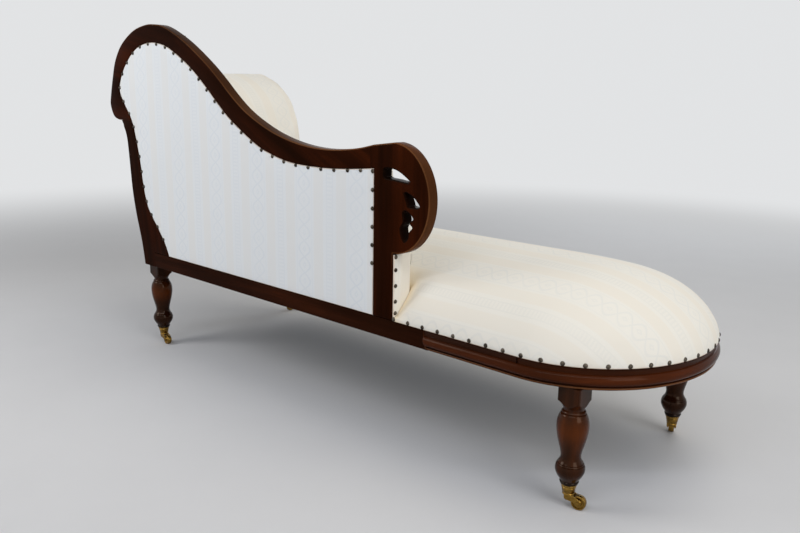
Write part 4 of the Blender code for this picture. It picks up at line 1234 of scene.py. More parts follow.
@dataclass
class Castor:
    """A brass castor: socket cup, forked horn, axle and wheel.

    Outlines are distance out and height, in millimetres: the cup's wall from its rim, its foot
    from the foot's edge, pin and plate from their tops. The wheel's face is listed in shares of
    its radius and half its width.
    """

    corner: str
    steps: int = 48
    wall: float = 0.0014
    bead: float = 0.0013
    base: float = 0.0115
    lip: float = 0.0004
    cup_wall: Outline = ((-0.1, -3.0), (-0.6, -5.6), (-1.1, -6.2), (-0.7, -6.8))
    cup_foot: Outline = ((0.6, 4.2), (-0.1, 3.4), (0.6, 2.4), (0.7, 1.2), (0.0, 0.4), (-0.6, 0.0),
                         (-7.9, 0.0), (-7.9, 5.7), (-2.2, 6.0))
    pin: Outline = ((0.0, 0.0), (2.6, 0.0), (3.0, -0.4))
    plate: Outline = ((3.0, 0.0), (9.2, 0.0), (10.0, -0.6), (10.0, -1.8), (9.4, -2.6), (0.0, -2.6))
    plate_gap: float = 0.0003
    cheek_drop: float = 0.0035
    knee_drop: float = 0.0050
    cheek_half: Pair = (0.0066, 0.0056)
    cheek_sides: Pair = (0.0070, 0.0100)
    cheek_edge: float = 0.0007
    tread_crown: float = 0.0009
    half: float = 0.0065
    bore: float = 0.0034
    wheel_face: Outline = ((0.955, 0.86), (0.91, 0.955), (0.84, 0.97), (0.775, 0.93), (0.735, 0.72),
                           (0.69, 0.60), (0.47, 0.58), (0.425, 0.70), (0.39, 0.93), (0.34, 1.0))

    def __post_init__(self) -> None:
        """Read the swivel's axis, the wheel's middle and the trail from the nodes' boxes."""
        self.axis = upright_axis(f"castor_cup_{self.corner}")
        low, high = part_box(f"castor_wheel_{self.corner}")
        self.middle, self.radius = np.array((low + high) / 2), (high.z - low.z) / 2
        away = (self.middle - self.axis) * [1.0, 1.0, 0.0]
        self.reach, away = float(np.linalg.norm(away)), unit(away)
        self.away, self.aside = away, np.array([-away[1], away[0], 0.0])
        self.up = np.array([0.0, 0.0, 1.0])

    def build(self, finish: Material) -> None:
        """Make the cup, horn and wheel on their bodies and finish the axle."""
        for part, shell, body in (("cup", self.cup(), "frame"),
                                  ("horn", self.horn(), f"castor_fork_{self.corner}"),
                                  ("wheel", self.wheel(), f"castor_roller_{self.corner}")):
            name = f"castor_{part}_{self.corner}"
            mount(shell.build(f"{name}_brass", sharp=42.0), finish, body, [name])
        paint_node(f"castor_axle_{self.corner}", finish)

    def cup(self) -> Shell:
        """The socket cup, turned, with a rolled rim, a fine line and a beaded foot."""
        low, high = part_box(f"castor_cup_{self.corner}")
        body = (high.x - low.x) / 2 - self.bead
        inner = body - self.wall
        a = np.linspace(math.pi / 2, -math.pi / 2, 9)
        roll = columns(body + self.bead * np.cos(a), high.z - self.bead * (1 - np.sin(a)))
        profile = np.vstack([[[inner + self.lip, high.z]], roll, metres(self.cup_wall, body, high.z),
                             metres(self.cup_foot, self.base, low.z), [[inner, high.z - self.lip]]])
        return turned(profile, self.steps, self.axis, closed=True)

    def horn(self) -> Shell:
        """The horn: a plate with a pin, and two cheeks with half-round ends.

        A cheek's middle line is the quadratic curve from the plate over the knee to the axle.
        """
        plate_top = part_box(f"castor_cup_{self.corner}")[0].z - self.plate_gap
        plate = np.vstack([metres(self.pin, 0.0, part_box(f"castor_horn_{self.corner}")[1].z),
                           metres(self.plate, 0.0, plate_top)])
        shell = turned(plate, 32, self.axis)
        t = np.linspace(0, 1, 22)[:, None]
        start = np.array([0.0, plate_top - self.cheek_drop])
        knee = np.array([self.reach * 0.86, plate_top - self.knee_drop])
        end = np.array([self.reach, self.middle[2]])
        line = (1 - t) ** 2 * start + 2 * t * (1 - t) * knee + t ** 2 * end
        slope = unit(np.gradient(line, axis=0))
        across = columns(-slope[:, 1], slope[:, 0])
        half = self.cheek_half[0] + (self.cheek_half[1] - self.cheek_half[0]) * t
        b = np.linspace(-math.pi / 2, math.pi / 2, 9)[:, None]
        left, right = line + across * half, line - across * half
        tip = line[-1] + half[-1] * (np.cos(b) * slope[-1] - np.sin(b) * across[-1])
        back = line[0] - half[0] * (np.cos(b) * slope[0] - np.sin(b) * across[0])
        loop = anticlockwise(np.vstack([right, tip[::-1][1:-1], left[::-1], back[::-1][1:-1]]))
        for side in (-1, 1):
            faces = sorted(side * place for place in self.cheek_sides)
            cheek = board([loop], *faces, Axis.ACROSS, self.cheek_edge, 3)
            placed = np.vstack(cheek.points) @ np.stack([self.away, self.aside, self.up])
            shell.take(Shell([placed + self.axis], cheek.faces))
        return shell

    def wheel(self) -> Shell:
        """The wheel: a domed tread, dished faces and a raised hub, turned about its axle."""
        tread = np.linspace(-1, 1, 11)
        rim = columns(self.radius - self.tread_crown * tread ** 2, 0.70 * self.half * tread)
        face = np.vstack([np.array(self.wheel_face) * [self.radius, self.half], [[self.bore, self.half]]])
        profile = np.vstack([rim, face, (face * [1, -1])[::-1]])
        return turned(profile, self.steps, self.middle, np.stack([self.away, self.up, self.aside]),
                      closed=True)


# Upholstery


def stuffed(shell: Shell, name: str, held: Callable[[Array], Array], cap: float,
            pressure: float = 3.0, rounds: int = 3) -> Object:
    """Make a closed cover, fill it by cloth simulation and smooth it.

    Args:
        shell: The cover's surfaces.
        name: Its name.
        held: How firmly points are held, from 0 to 1.
        cap: Farthest that a point may move.
        pressure: Pressure of the filling.
        rounds: Rounds of smoothing.

    Returns:
        The cover.
    """
    obj = shell.build(name, sharp=80.0)
    weights = held(coordinates(obj.data))
    inflate(obj, weights, pressure, cap)
    relax(obj.data, rounds, 1.0 - weights)
    return obj


def inflate(obj: Object, weights: Array, pressure: float, cap: float) -> None:
    """Blow a cover up from inside by cloth simulation and keep the result in its mesh."""
    frames = 20
    rest = coordinates(obj.data)
    group = obj.vertex_groups.new(name="held")
    for level in np.unique(np.round(weights, 1)):
        members = np.nonzero(np.round(weights, 1) == level)[0]
        group.add(members.tolist(), float(level), "REPLACE")
    cloth = obj.modifiers.new("filling", "CLOTH")
    for key, value in {"use_pressure": True, "uniform_pressure_force": pressure,
                       "tension_stiffness": 12.0, "compression_stiffness": 12.0,
                       "shear_stiffness": 4.0, "bending_stiffness": 0.6,
                       "vertex_group_mass": group.name, "quality": 4}.items():
        setattr(cloth.settings, key, value)
    cloth.settings.effector_weights.gravity = 0.0
    cloth.point_cache.frame_start, cloth.point_cache.frame_end = 1, frames
    for number in range(1, frames + 1):
        bpy.context.scene.frame_set(number)
    bpy.context.view_layer.update()
    done = obj.evaluated_get(bpy.context.evaluated_depsgraph_get())
    old, obj.data = obj.data, bpy.data.meshes.new_from_object(done)
    obj.modifiers.clear()
    obj.data.name = obj.name
    bpy.data.meshes.remove(old)
    step = coordinates(obj.data) - rest
    length = np.maximum(np.linalg.norm(step, axis=1), tiny)
    log.info("%s: swelled %.1f mm at most, %.1f mm on the mean", obj.name,
             length.max() / millimetre, length.mean() / millimetre)
    set_coordinates(obj.data, rest + step * np.minimum(1.0, cap / length)[:, None])
    obj.vertex_groups.clear()
    bpy.context.scene.frame_set(1)


def relax(mesh: Mesh, rounds: int, free: Array) -> None:
    """Smooth a mesh: each free point goes half way to the mean of its neighbours."""
    ends = np.empty(len(mesh.edges) * 2, np.int32)
    mesh.edges.foreach_get("vertices", ends)
    a, b = ends.reshape(-1, 2).T
    count = np.maximum(np.bincount(ends, minlength=len(mesh.vertices)).astype(float), 1.0)
    points = coordinates(mesh)
    for _ in range(rounds):
        total = np.stack([np.bincount(a, points[b, k], len(points))
                          + np.bincount(b, points[a, k], len(points)) for k in range(3)], axis=1)
        points += (total / count[:, None] - points) * (0.5 * free)[:, None]
    set_coordinates(mesh, points)


def absorb(obj: Object, shell: Shell) -> None:
    """Add a shell's closed surfaces to a piece's mesh."""
    extra = shell.build("extra")
    bm = bmesh.new()
    bm.from_mesh(obj.data)
    bm.from_mesh(extra.data)
    bm.to_mesh(obj.data)
    bm.free()
    bpy.data.meshes.remove(extra.data)


def cover(obj: Object, finish: Damask, node: str, fill: float, *places: Array) -> None:
    """Lay the stripes on a padded cover, dress it and let it stand for its pad.

    Args:
        obj: The cover.
        finish: Its cloth.
        node: The pad's node.
        fill: How full the pad is; not used.
        places: Each point's place along the stripe, across it and from the border.
    """
    store(obj.data, "cloth", *places)
    shade(obj.data, 60.0)
    mount(obj, finish.material(), nodes=[node])


@dataclass
class SeatCover:
    """The domed seat: a crowned section carried along the seat and round the bow.

    The border is listed as distance out from its face and height above the rail, in millimetres.
    """

    chassis: Chassis
    finish: Damask
    proud: float = 0.0004
    band: float = 0.010
    band_reach: float = 0.03
    border: Outline = ((0.0, 7.0), (0.0, 3.5), (0.0, 1.2), (-0.4, 0.3), (-1.2, 0.0))
    under: tuple[float, ...] = (0.95, 0.8, 0.6, 0.4, 0.2, 0.0)
    cap: float = 0.006
    shrink: float = 0.0035
    step_before: float = 0.0012
    step_after: float = 0.0003
    held_above_band: float = 0.004
    held_step: Pair = (0.003, 0.004)
    held_head: float = 0.02
    crease_depth: float = 0.006
    crease_width: float = 0.010
    crease_height: float = 0.05
    shade_width: float = 0.016
    beside: float = 0.0004
    tuck: float = 0.0006
    pinch: float = 0.80
    pinch_reach: float = 0.032
    pinch_from: float = 0.205
    pinch_over: float = 0.085
    pinched: float = 0.0085

    def __post_init__(self) -> None:
        """Read the crown and the ends from the node's box, and the pad's faces from its own."""
        self.low, self.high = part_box("seat_cushion")
        self.rise = self.high.z - self.low.z
        self.half = self.chassis.half_depth + self.proud
        pad_low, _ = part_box("inside_back_pad")
        self.step_x, self.limit = pad_low.x, pad_low.y

    def section(self) -> Array:
        """Half section from the crown line to the rim: distance out and height.

        At angle a from 90 degrees down it is (half cos a, rise sin a), or a little inside that
        above the upright border, which is folded under.
        """
        a = np.linspace(math.pi / 2, math.asin(self.band / self.rise), 52)
        inside_by = self.shrink * reached(self.rise * np.sin(a) - self.band, self.band_reach)
        curve = columns((self.half - inside_by) * np.cos(a),
                        self.low.z + (self.rise - inside_by) * np.sin(a))
        under = [[self.half * share, self.low.z] for share in self.under]
        return np.vstack([curve, metres(self.border, self.half, self.low.z), under])

    def build(self) -> None:
        """Make the cover, fill it, shape its creases and lay its stripes."""
        obj = stuffed(self.shell(), "seat_cover", self.held, self.cap, pressure=3.5, rounds=4)
        points = self.settle(coordinates(obj.data))
        set_coordinates(obj.data, points)
        gap = np.hypot(np.maximum(self.step_x - points[:, 0], 0.0),
                       np.maximum(self.limit - points[:, 1], 0.0))
        # Painted shade in the crease beside the pad, fading with distance from it.
        store(obj.data, "crease", 0.75 * np.exp(-gap / self.shade_width))
        cover(obj, self.finish, "seat_cushion", 0.85, *self.flat(points))

    def shell(self) -> Shell:
        """The half section carried from the front round the bow to the back, as far as the pad."""
        section = self.section()
        bow_x, step_x = self.chassis.bow_x, self.step_x
        a = np.linspace(3 * math.pi / 2, math.pi / 2, 97)
        stretch = self.chassis.bow_length / self.chassis.half_depth
        bow = np.stack([bow_x + stretch * section[None, :, 0] * np.cos(a)[:, None],
                        section[None, :, 0] * np.sin(a)[:, None],
                        np.broadcast_to(section[None, :, 1], (len(a), len(section)))], axis=2)
        runs = np.concatenate([np.linspace(bow_x, step_x - self.step_before, 34)[1:],
                               np.linspace(step_x + self.step_after, self.high.x, 100)])
        front = np.stack([np.insert(section * [-1, 1], 0, x, axis=1) for x in runs[::-1]])
        back = front[::-1] * [1, -1, 1]
        back[:, :, 1] = np.where(back[:, :, 0] > step_x, np.minimum(back[:, :, 1], self.limit),
                                 back[:, :, 1])
        grid = np.concatenate([front, bow, back])
        return Shell().add_grid(grid).add(*fan(np.vstack([grid[-1], grid[0][::-1][1:-1]])))

    def held(self, points: Array) -> Array:
        """Hold the cover along the rail, underneath, at the pad and under the roll."""
        above = points[:, 2] - self.low.z - self.band - self.held_above_band
        before, under = self.held_step
        wall = (points[:, 0] > self.step_x - before) & (points[:, 1] > self.limit - under)
        head = points[:, 0] > self.high.x - self.held_head
        return np.maximum(1.0 - reached(above, self.band_reach), (wall | head).astype(float))

    def settle(self, points: Array) -> Array:
        """Keep the cover off the rail and out of the pad, with a crease beside the pad.

        There it sinks by depth e^(-gap / width), and towards the pad's foot corner it is pinched
        by a share of e^(-(distance / reach)^2), but never below its border.
        """
        points = points.copy()
        x, y, z = points.T
        z[:] = np.maximum(z, self.low.z)
        beside = x > self.step_x - self.beside
        fade = np.exp(-np.maximum(self.limit - y, 0.0) / self.crease_width)
        sink = self.crease_depth * fade * reached(z - self.low.z, self.crease_height)
        z -= np.where(beside, sink, 0.0)
        height = z - self.low.z
        near = np.exp(-((x - self.step_x) / self.pinch_reach) ** 2)
        kept = 1.0 - self.pinch * near * reached(y - self.pinch_from, self.pinch_over)
        z[:] = self.low.z + np.maximum(height * kept, np.minimum(height, self.pinched))
        y[:] = np.where(beside, np.minimum(y, self.limit + self.tuck), y)
        return points

    def flat(self, points: Array) -> tuple[Array, Array, Array]:
        """Places on the flat cloth: along the seat, across it, and above its border.

        Across is the arc length from the crown line; round the bow, from the bow's centre.
        """
        bow_x = self.chassis.bow_x
        x, y, z = points.T
        a = np.linspace(math.pi / 2, 0, 400)
        run = arc_lengths(columns(self.half * np.cos(a), self.rise * np.sin(a)))
        bow = x < bow_x
        ahead = (bow_x - x) * self.half / self.chassis.bow_length
        out = np.where(bow, np.hypot(ahead, y), np.abs(y))
        angle = np.arctan2(reached(z - self.low.z, self.rise), out / self.half)
        length = np.interp(angle, a[::-1], run[::-1])
        some = np.maximum(out, 1e-6)
        side = np.where(bow, y / some, np.sign(y))
        along = np.where(bow, bow_x - length * ahead / some, x)
        return along, side * length, z - self.low.z


@dataclass
class BackPad:
    """The inside back: a padded slab with a soft crown, wrapped round the post's foot side."""

    finish: Damask
    thickness: float = 0.022
    crown: float = 0.012
    crown_edge: float = 0.062
    board_gap: float = 0.0003
    cut: float = 0.006
    edge: Pair = (0.006, 0.0006)
    spacing: float = 0.011
    cap: float = 0.006
    wrap: float = 0.0026
    wrap_rise: float = 0.1490
    wrap_lap: float = 0.001
    wrap_edge: Pair = (0.0009, 0.0004)
    return_width: float = 0.008
    return_start: float = 0.010
    border_width: float = 0.004
    foot_reach: float = 0.03
    sunk: float = 0.0006
    held_back: Pair = (0.014, 0.008)
    held_foot: Pair = (0.012, 0.010)

    def build(self) -> None:
        """Make the pad from its node's outline, fill it, wrap the post and lay its stripes."""
        self.low, self.high = low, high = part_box("inside_back_pad")
        self.inner = low.y + self.crown + self.thickness - self.board_gap
        loop = node_sections("inside_back_pad", Axis.ACROSS, self.inner - self.cut)[0]
        corner = int(np.argmax(loop[:, 1] - loop[:, 0]))
        squared = [loop[corner, 0], loop[corner - 1, 1]]
        self.loop = resample(np.insert(loop, corner, squared, axis=0), 3, closed=True)
        shell = board([self.loop], low.y + self.crown, self.inner, Axis.ACROSS, self.edge, 6,
                      self.spacing, relief=self.relief, side=-1)
        obj = stuffed(shell, "inside_back_cover", self.held, self.cap)
        start, top = self.inner - self.wrap_lap, low.z + self.wrap_rise
        strip = np.array([[start, low.z], [high.y, low.z], [high.y, top], [start, top]])
        absorb(obj, board([strip], low.x, low.x + self.wrap, Axis.ALONG, self.wrap_edge, 3))
        x, y, z = coordinates(obj.data).T
        turned_back = np.where(x < low.x + self.return_width, low.y + self.return_start - y, 0.0)
        border = np.where(x < low.x + self.border_width, high.y - y, 1.0)
        cover(obj, self.finish, "inside_back_pad", 0.8, z, x + turned_back, border)

    def relief(self, places: Array) -> Array:
        """Height of the crown: a quarter round, but nearly full at the foot end."""
        away = self.loop[self.loop[:, 0] > self.low.x + self.crown_edge]
        gap = np.min(np.linalg.norm(places[:, None, :] - away[None, :, :], axis=2), axis=1)
        share = reached(gap, 2.4 * self.crown)
        flat_foot = 0.42 * (1.0 - reached(places[:, 0] - self.low.x, self.foot_reach)) ** 2
        return self.crown * (np.sqrt(1 - (1 - share) ** 2) - flat_foot) - self.sunk

    def held(self, points: Array) -> Array:
        """Hold the pad at the boards and on the post's foot side."""
        (back, back_reach), (foot, foot_reach) = self.held_back, self.held_foot
        return np.maximum(reached(points[:, 1] - self.inner + back, back_reach),
                          reached(self.low.x + foot - points[:, 0], foot_reach))


@dataclass
class RollPad:
    """The scrolled head end: face, roll and the fabric drawn under it."""

    finish: Damask
    edge: Pair = (0.0065, 0.003)
    margin: float = 0.0006
    spacing: float = 0.012
    cap: float = 0.005
    clear: float = 0.0002
    bulge: float = 0.001
    foot_reach: float = 0.03
    shelf_x: float = 0.70
    shelf_reach: float = 0.01
    shelf_drop: float = 0.13

    def build(self) -> None:
        """Make the pad from its node's outline, fill it and lay its stripes."""
        self.low, self.high = low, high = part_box("head_roll_pad")
        loop = resample(outline("head_roll_pad")[0], 3, closed=True)
        shell = board([inset(loop, self.margin)], low.y, high.y, Axis.ACROSS, self.edge, 6,
                      spacing=self.spacing, both=True, rows=36)
        obj = stuffed(shell, "head_roll_cover", self.held, self.cap)
        points = coordinates(obj.data)
        points[:, 1] = np.clip(points[:, 1], low.y - self.clear, high.y + self.bulge)
        points[:, 0] = np.minimum(points[:, 0], high.x - self.clear)
        set_coordinates(obj.data, points)
        cover(obj, self.finish, "head_roll_pad", 0.85, self.length(points[:, [0, 2]], loop),
              points[:, 1], np.ones(len(points)))

    def held(self, points: Array) -> Array:
        """Hold the pad at its foot and where it rests on the head rails."""
        foot = 1.0 - reached(points[:, 2] - self.low.z, self.foot_reach)
        below = points[:, 2] < self.high.z - self.shelf_drop
        return np.maximum(foot, reached(points[:, 0] - self.shelf_x, self.shelf_reach) * below)

    def length(self, flat: Array, loop: Array) -> Array:
        """Length along the loop from the pad's foot to its place nearest to each point."""
        start = int(np.argmin(loop[:, 0] + loop[:, 1]))
        path = np.vstack([np.roll(loop, -start, axis=0), loop[start:start + 1]])[::-1]
        run = arc_lengths(path)
        return np.interp(nearest(path[:-1], flat)[1], np.arange(len(run)), run)


@dataclass
class OutsideBack:
    """The cover stretched over the outside back, drawn down at its border and its nails."""

    finish: Damask
    nails: Array
    border: float = 0.0016
    margin: float = 0.0002
    thinned: float = 0.0004
    spacing: float = 0.008
    rise: float = 0.0016
    rise_reach: float = 0.018
    ripple: float = 0.00035
    ripple_reach: float = 0.05
    dip: float = 0.0009
    dip_reach: float = 0.009
    node: str = "outside_back_panel"

    def build(self) -> None:
        """Make the cover from its node's outline."""
        low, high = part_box(self.node)
        self.loop = inset(resample(outline(self.node)[0], 4, closed=True), self.margin)
        shell = board([self.loop], low.y, high.y - self.thinned, Axis.ACROSS, self.border, 5,
                      self.spacing, relief=self.relief)
        obj = shell.build(f"{self.node}_cover", sharp=60.0)
        points = coordinates(obj.data)
        cover(obj, self.finish, self.node, 0.3, points[:, 2], points[:, 0],
              distance_to(self.loop, points[:, [0, 2]]))

    def relief(self, places: Array) -> Array:
        """Height over the panel: it rises from the border, dips at the nails and ripples a little."""
        gap = distance_to(self.loop, places)
        ripple = self.ripple * np.sin(places[:, 0] * 23 + 3 * np.sin(places[:, 1] * 5))
        away = np.min(np.linalg.norm(places[:, None, :] - self.nails[None, :, :], axis=2), axis=1)
        dip = self.dip * np.exp(-(away / self.dip_reach) ** 2)
        rise = self.rise * (1 - np.exp(-gap / self.rise_reach))
        return rise + ripple * reached(gap, self.ripple_reach) - dip


@dataclass
class HeadPanel:
    """The cover on the outside of the head end, drawn tight over its panel."""

    finish: Damask
    node: str = "head_outside_panel"
    margin: float = 0.0004
    edge: float = 0.0016
    bulge: float = 0.0024
    end_reach: float = 0.03
    border: float = 0.001

    def build(self) -> None:
        """Make the cover: at share s of its half width it stands bulge (1 - s^4) proud."""
        low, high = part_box(self.node)
        loop = inset(resample(outline(self.node)[0], 3, closed=True), self.margin)
        shell = board([loop], low.y, high.y, Axis.ACROSS, self.edge, 4, rows=44)
        obj = shell.build(f"{self.node}_cover", sharp=60.0)
        points = coordinates(obj.data)
        outside = np.clip(coordinates(obj.data, "normal")[:, 0], 0, 1)
        share = np.clip(np.abs(points[:, 1] * 2 / (high.y - low.y)), 0, 1)
        foot, top = points[:, 2] - low.z, high.z - points[:, 2]
        ends = reached(foot, self.end_reach) * reached(top, self.end_reach)
        points[:, 0] += self.bulge * outside * (1 - share ** 4) * ends
        set_coordinates(obj.data, points)
        cover(obj, self.finish, self.node, 0.3, points[:, 2], points[:, 1],
              np.minimum(top, foot) + self.border)


@dataclass
class SeatBase:
    """Under the seat: interlaced jute straps, and the dust cloth tacked below them."""

    chassis: Chassis
    straps: int = 8
    width: float = 0.050
    thick: float = 0.0009
    weave: float = 0.00052
    first_x: float = 0.0285
    last_x: float = 0.098
    end_gap: float = 0.028
    cloth: float = 0.0006
    cloth_edge: float = 0.0002
    cloth_spacing: float = 0.02
    sag: float = 0.0008
    sag_reach: float = 0.05

    def build(self) -> None:
        """Make the straps and the cloth: each strap lies over and under those that cross it."""
        c = self.chassis
        low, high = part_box("seat_webbing")
        level = (low.z + high.z) / 2
        long_y = [high.y * share for share in (-0.5, 0.0, 0.5)]
        cross_x = np.linspace(c.bow_x - self.first_x, high.x - self.last_x, self.straps)
        over = np.array([[(-1.0) ** (row + k) for k in range(self.straps)] for row in range(3)])
        shell = Shell()
        for row, y in enumerate(long_y):
            x = np.linspace(low.x if y == 0 else c.bow_x - 0.7 * c.bow_length, high.x, 160)
            rise = level + self.weave * np.interp(x, cross_x, over[row])
            self.strap(shell, columns(x, 0 * x + y, rise), 1)
        for k, x in enumerate(cross_x):
            ahead = max(c.bow_x - x + self.width / 2, 0.0) / c.bow_length
            reach = min(high.y, c.half_depth * math.sqrt(1 - ahead ** 2) - self.end_gap)
            y = np.linspace(-reach, reach, 90)
            rise = level - self.weave * np.interp(y, long_y, over[:, k])
            self.strap(shell, columns(0 * y + x, y, rise), 0)
        mount(shell.build("seat_straps"), Jute().material(), nodes=["seat_webbing"])
        self.dust_cloth()

    def strap(self, shell: Shell, path: Array, aside: int) -> None:
        """Add one strap: a flat closed band whose middle follows a path."""
        side = np.zeros(3)
        side[aside] = self.width / 2
        up = np.array([0.0, 0.0, self.thick / 2])
        grid = columns(path - side - up, path + side - up, path + side + up, path - side + up)
        shell.add_grid(grid, wrap_columns=True)
        shell.add(grid[0], np.array([[0, 1, 2, 3]])).add(grid[-1], np.array([[3, 2, 1, 0]]))

    def dust_cloth(self) -> None:
        """The dust cloth, from its node's outline, with a slight sag between the rails."""
        _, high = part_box("bottom_cloth")
        loop = outline("bottom_cloth", Axis.UP)[0]

        def sag(places: Array) -> Array:
            """Hang of the cloth's underside, growing from its border."""
            return self.sag * (1 - np.exp(-distance_to(loop, places) / self.sag_reach))

        shell = board([loop], high.z - self.cloth, high.z, Axis.UP, self.cloth_edge, 1,
                      self.cloth_spacing, relief=sag, side=-1)
        obj = shell.build("bottom_dust_cloth")
        mount(obj, DustCloth().material(), nodes=["bottom_cloth"])


@dataclass
class Nails:
    """Antiqued dome-headed nails in rows along the covers' borders."""

    chassis: Chassis
    finish: Material
    radius: float = 0.0049
    height: float = 0.0031
    sunk: float = 0.0008
    sides: int = 14
    rings: int = 4
    pitch: float = 0.0450
    crest_start: tuple[float, ...] = (0.038, 0.080)
    crest_end: float = 0.006
    post_pitch: float = 0.0411
    post_start: float = 0.0028
    post_end: float = 0.012
    corner_band: Pair = (0.012, 0.008)
    seat_pitch: float = 0.0418
    seat_start: float = 0.0025
    seat_end: float = 0.10
    above_rail: float = 0.0052
    edge_distance: float = 0.0032
    beside_inset: float = 0.0052
    beside_post: tuple[float, ...] = (0.0175, 0.0440, 0.0795, 0.1155, 0.1445)

    def dome(self) -> Shell:
        """One head: at angle b it is radius sin b out and height cos b high, closed below."""
        b = np.append(0.0, np.linspace(0.12, math.pi / 2, self.rings))
        head = columns(self.radius * np.sin(b), self.height * np.cos(b))
        foot = [[self.radius * 0.86, -self.sunk], [0.0, -self.sunk]]
        return turned(np.vstack([head, foot]), self.sides, np.zeros(3))

    def row(self, name: str, places: Array, outward: Sequence) -> None:
        """Make a row of nails.

        Args:
            name: The piece's name.
            places: Centre of each nail on the cover.
            outward: Direction that the heads face, or one for each.
        """
        dome, shell = self.dome(), Shell()
        for place, up in zip(places, np.broadcast_to(outward, places.shape)):
            up = unit(up)
            side = unit(np.cross(up, [0.0, 0.0, 1.0] if abs(up[2]) < 0.9 else [1.0, 0.0, 0.0]))
            turn = np.stack([side, np.cross(up, side), up])
            shell.add(place + dome.points[0] @ turn, *dome.faces)
        mount(shell.build(name, sharp=50.0), self.finish)

    def back_places(self) -> Array:
        """Places on the outside back in X and Z: down the post, then over the crest to the stile."""
        low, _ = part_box("outside_back_panel")
        line = inset(resample(outline("outside_back_panel")[0], 4, closed=True), self.edge_distance)
        inner, outer = self.corner_band
        low_edge = line[:, 1] < low.z + inner
        line = np.roll(line, -int(np.argmax(low_edge & np.roll(~low_edge, -1))), axis=0)
        line = line[line[:, 1] > low.z + outer]
        line = line if line[0, 0] < line[-1, 0] else line[::-1]
        corner = int(np.argmax(line[:, 1] - 3.0 * line[:, 0]))
        post, crest = line[:corner + 1][::-1], line[corner:]
        down = np.arange(self.post_start, arc_lengths(post)[-1] - self.post_end, self.post_pitch)
        over = np.arange(self.crest_start[-1] + self.pitch, arc_lengths(crest)[-1] - self.crest_end,
                         self.pitch)
        return np.vstack([on_path(post, down), on_path(crest, np.append(self.crest_start, over))])

    def back(self) -> None:
        """Nails round the outside back."""
        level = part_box("outside_back_panel")[1].y - 0.2 * millimetre
        self.row("outside_back_nails", stand(self.back_places(), level, Axis.ACROSS), [0.0, 1.0, 0.0])

    def seat(self) -> None:
        """Nails along the seat's edge: from the post, round the bow, to the front facing."""
        c = self.chassis
        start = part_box("inside_back_pad")[0].x - self.seat_start
        path = np.vstack([[[start, c.half_depth, 0.0]], c.bow(180)[0],
                          [[c.lap_x - self.seat_end, -c.half_depth, 0.0]]])
        run = arc_lengths(path)[-1]
        places = on_path(path, np.linspace(0, run, int(round(run / self.seat_pitch)) + 1))
        x, y, z = places.T
        outward = columns(np.minimum(x - c.bow_x, 0.0) / c.bow_length ** 2, y / c.half_depth ** 2,
                          0 * x)
        z[:] = c.rail_top + self.above_rail
        self.row("seat_edge_nails", places, unit(outward) + [0.0, 0.0, 0.06])

    def post(self) -> None:
        """The upright row of nails on the pad's return beside the post."""
        low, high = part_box("inside_back_pad")
        places = np.array([[low.x, high.y - self.beside_inset, self.chassis.rail_top + height]
                           for height in self.beside_post])
        self.row("post_side_nails", places, [-1.0, 0.1, 0.0])


# Studio


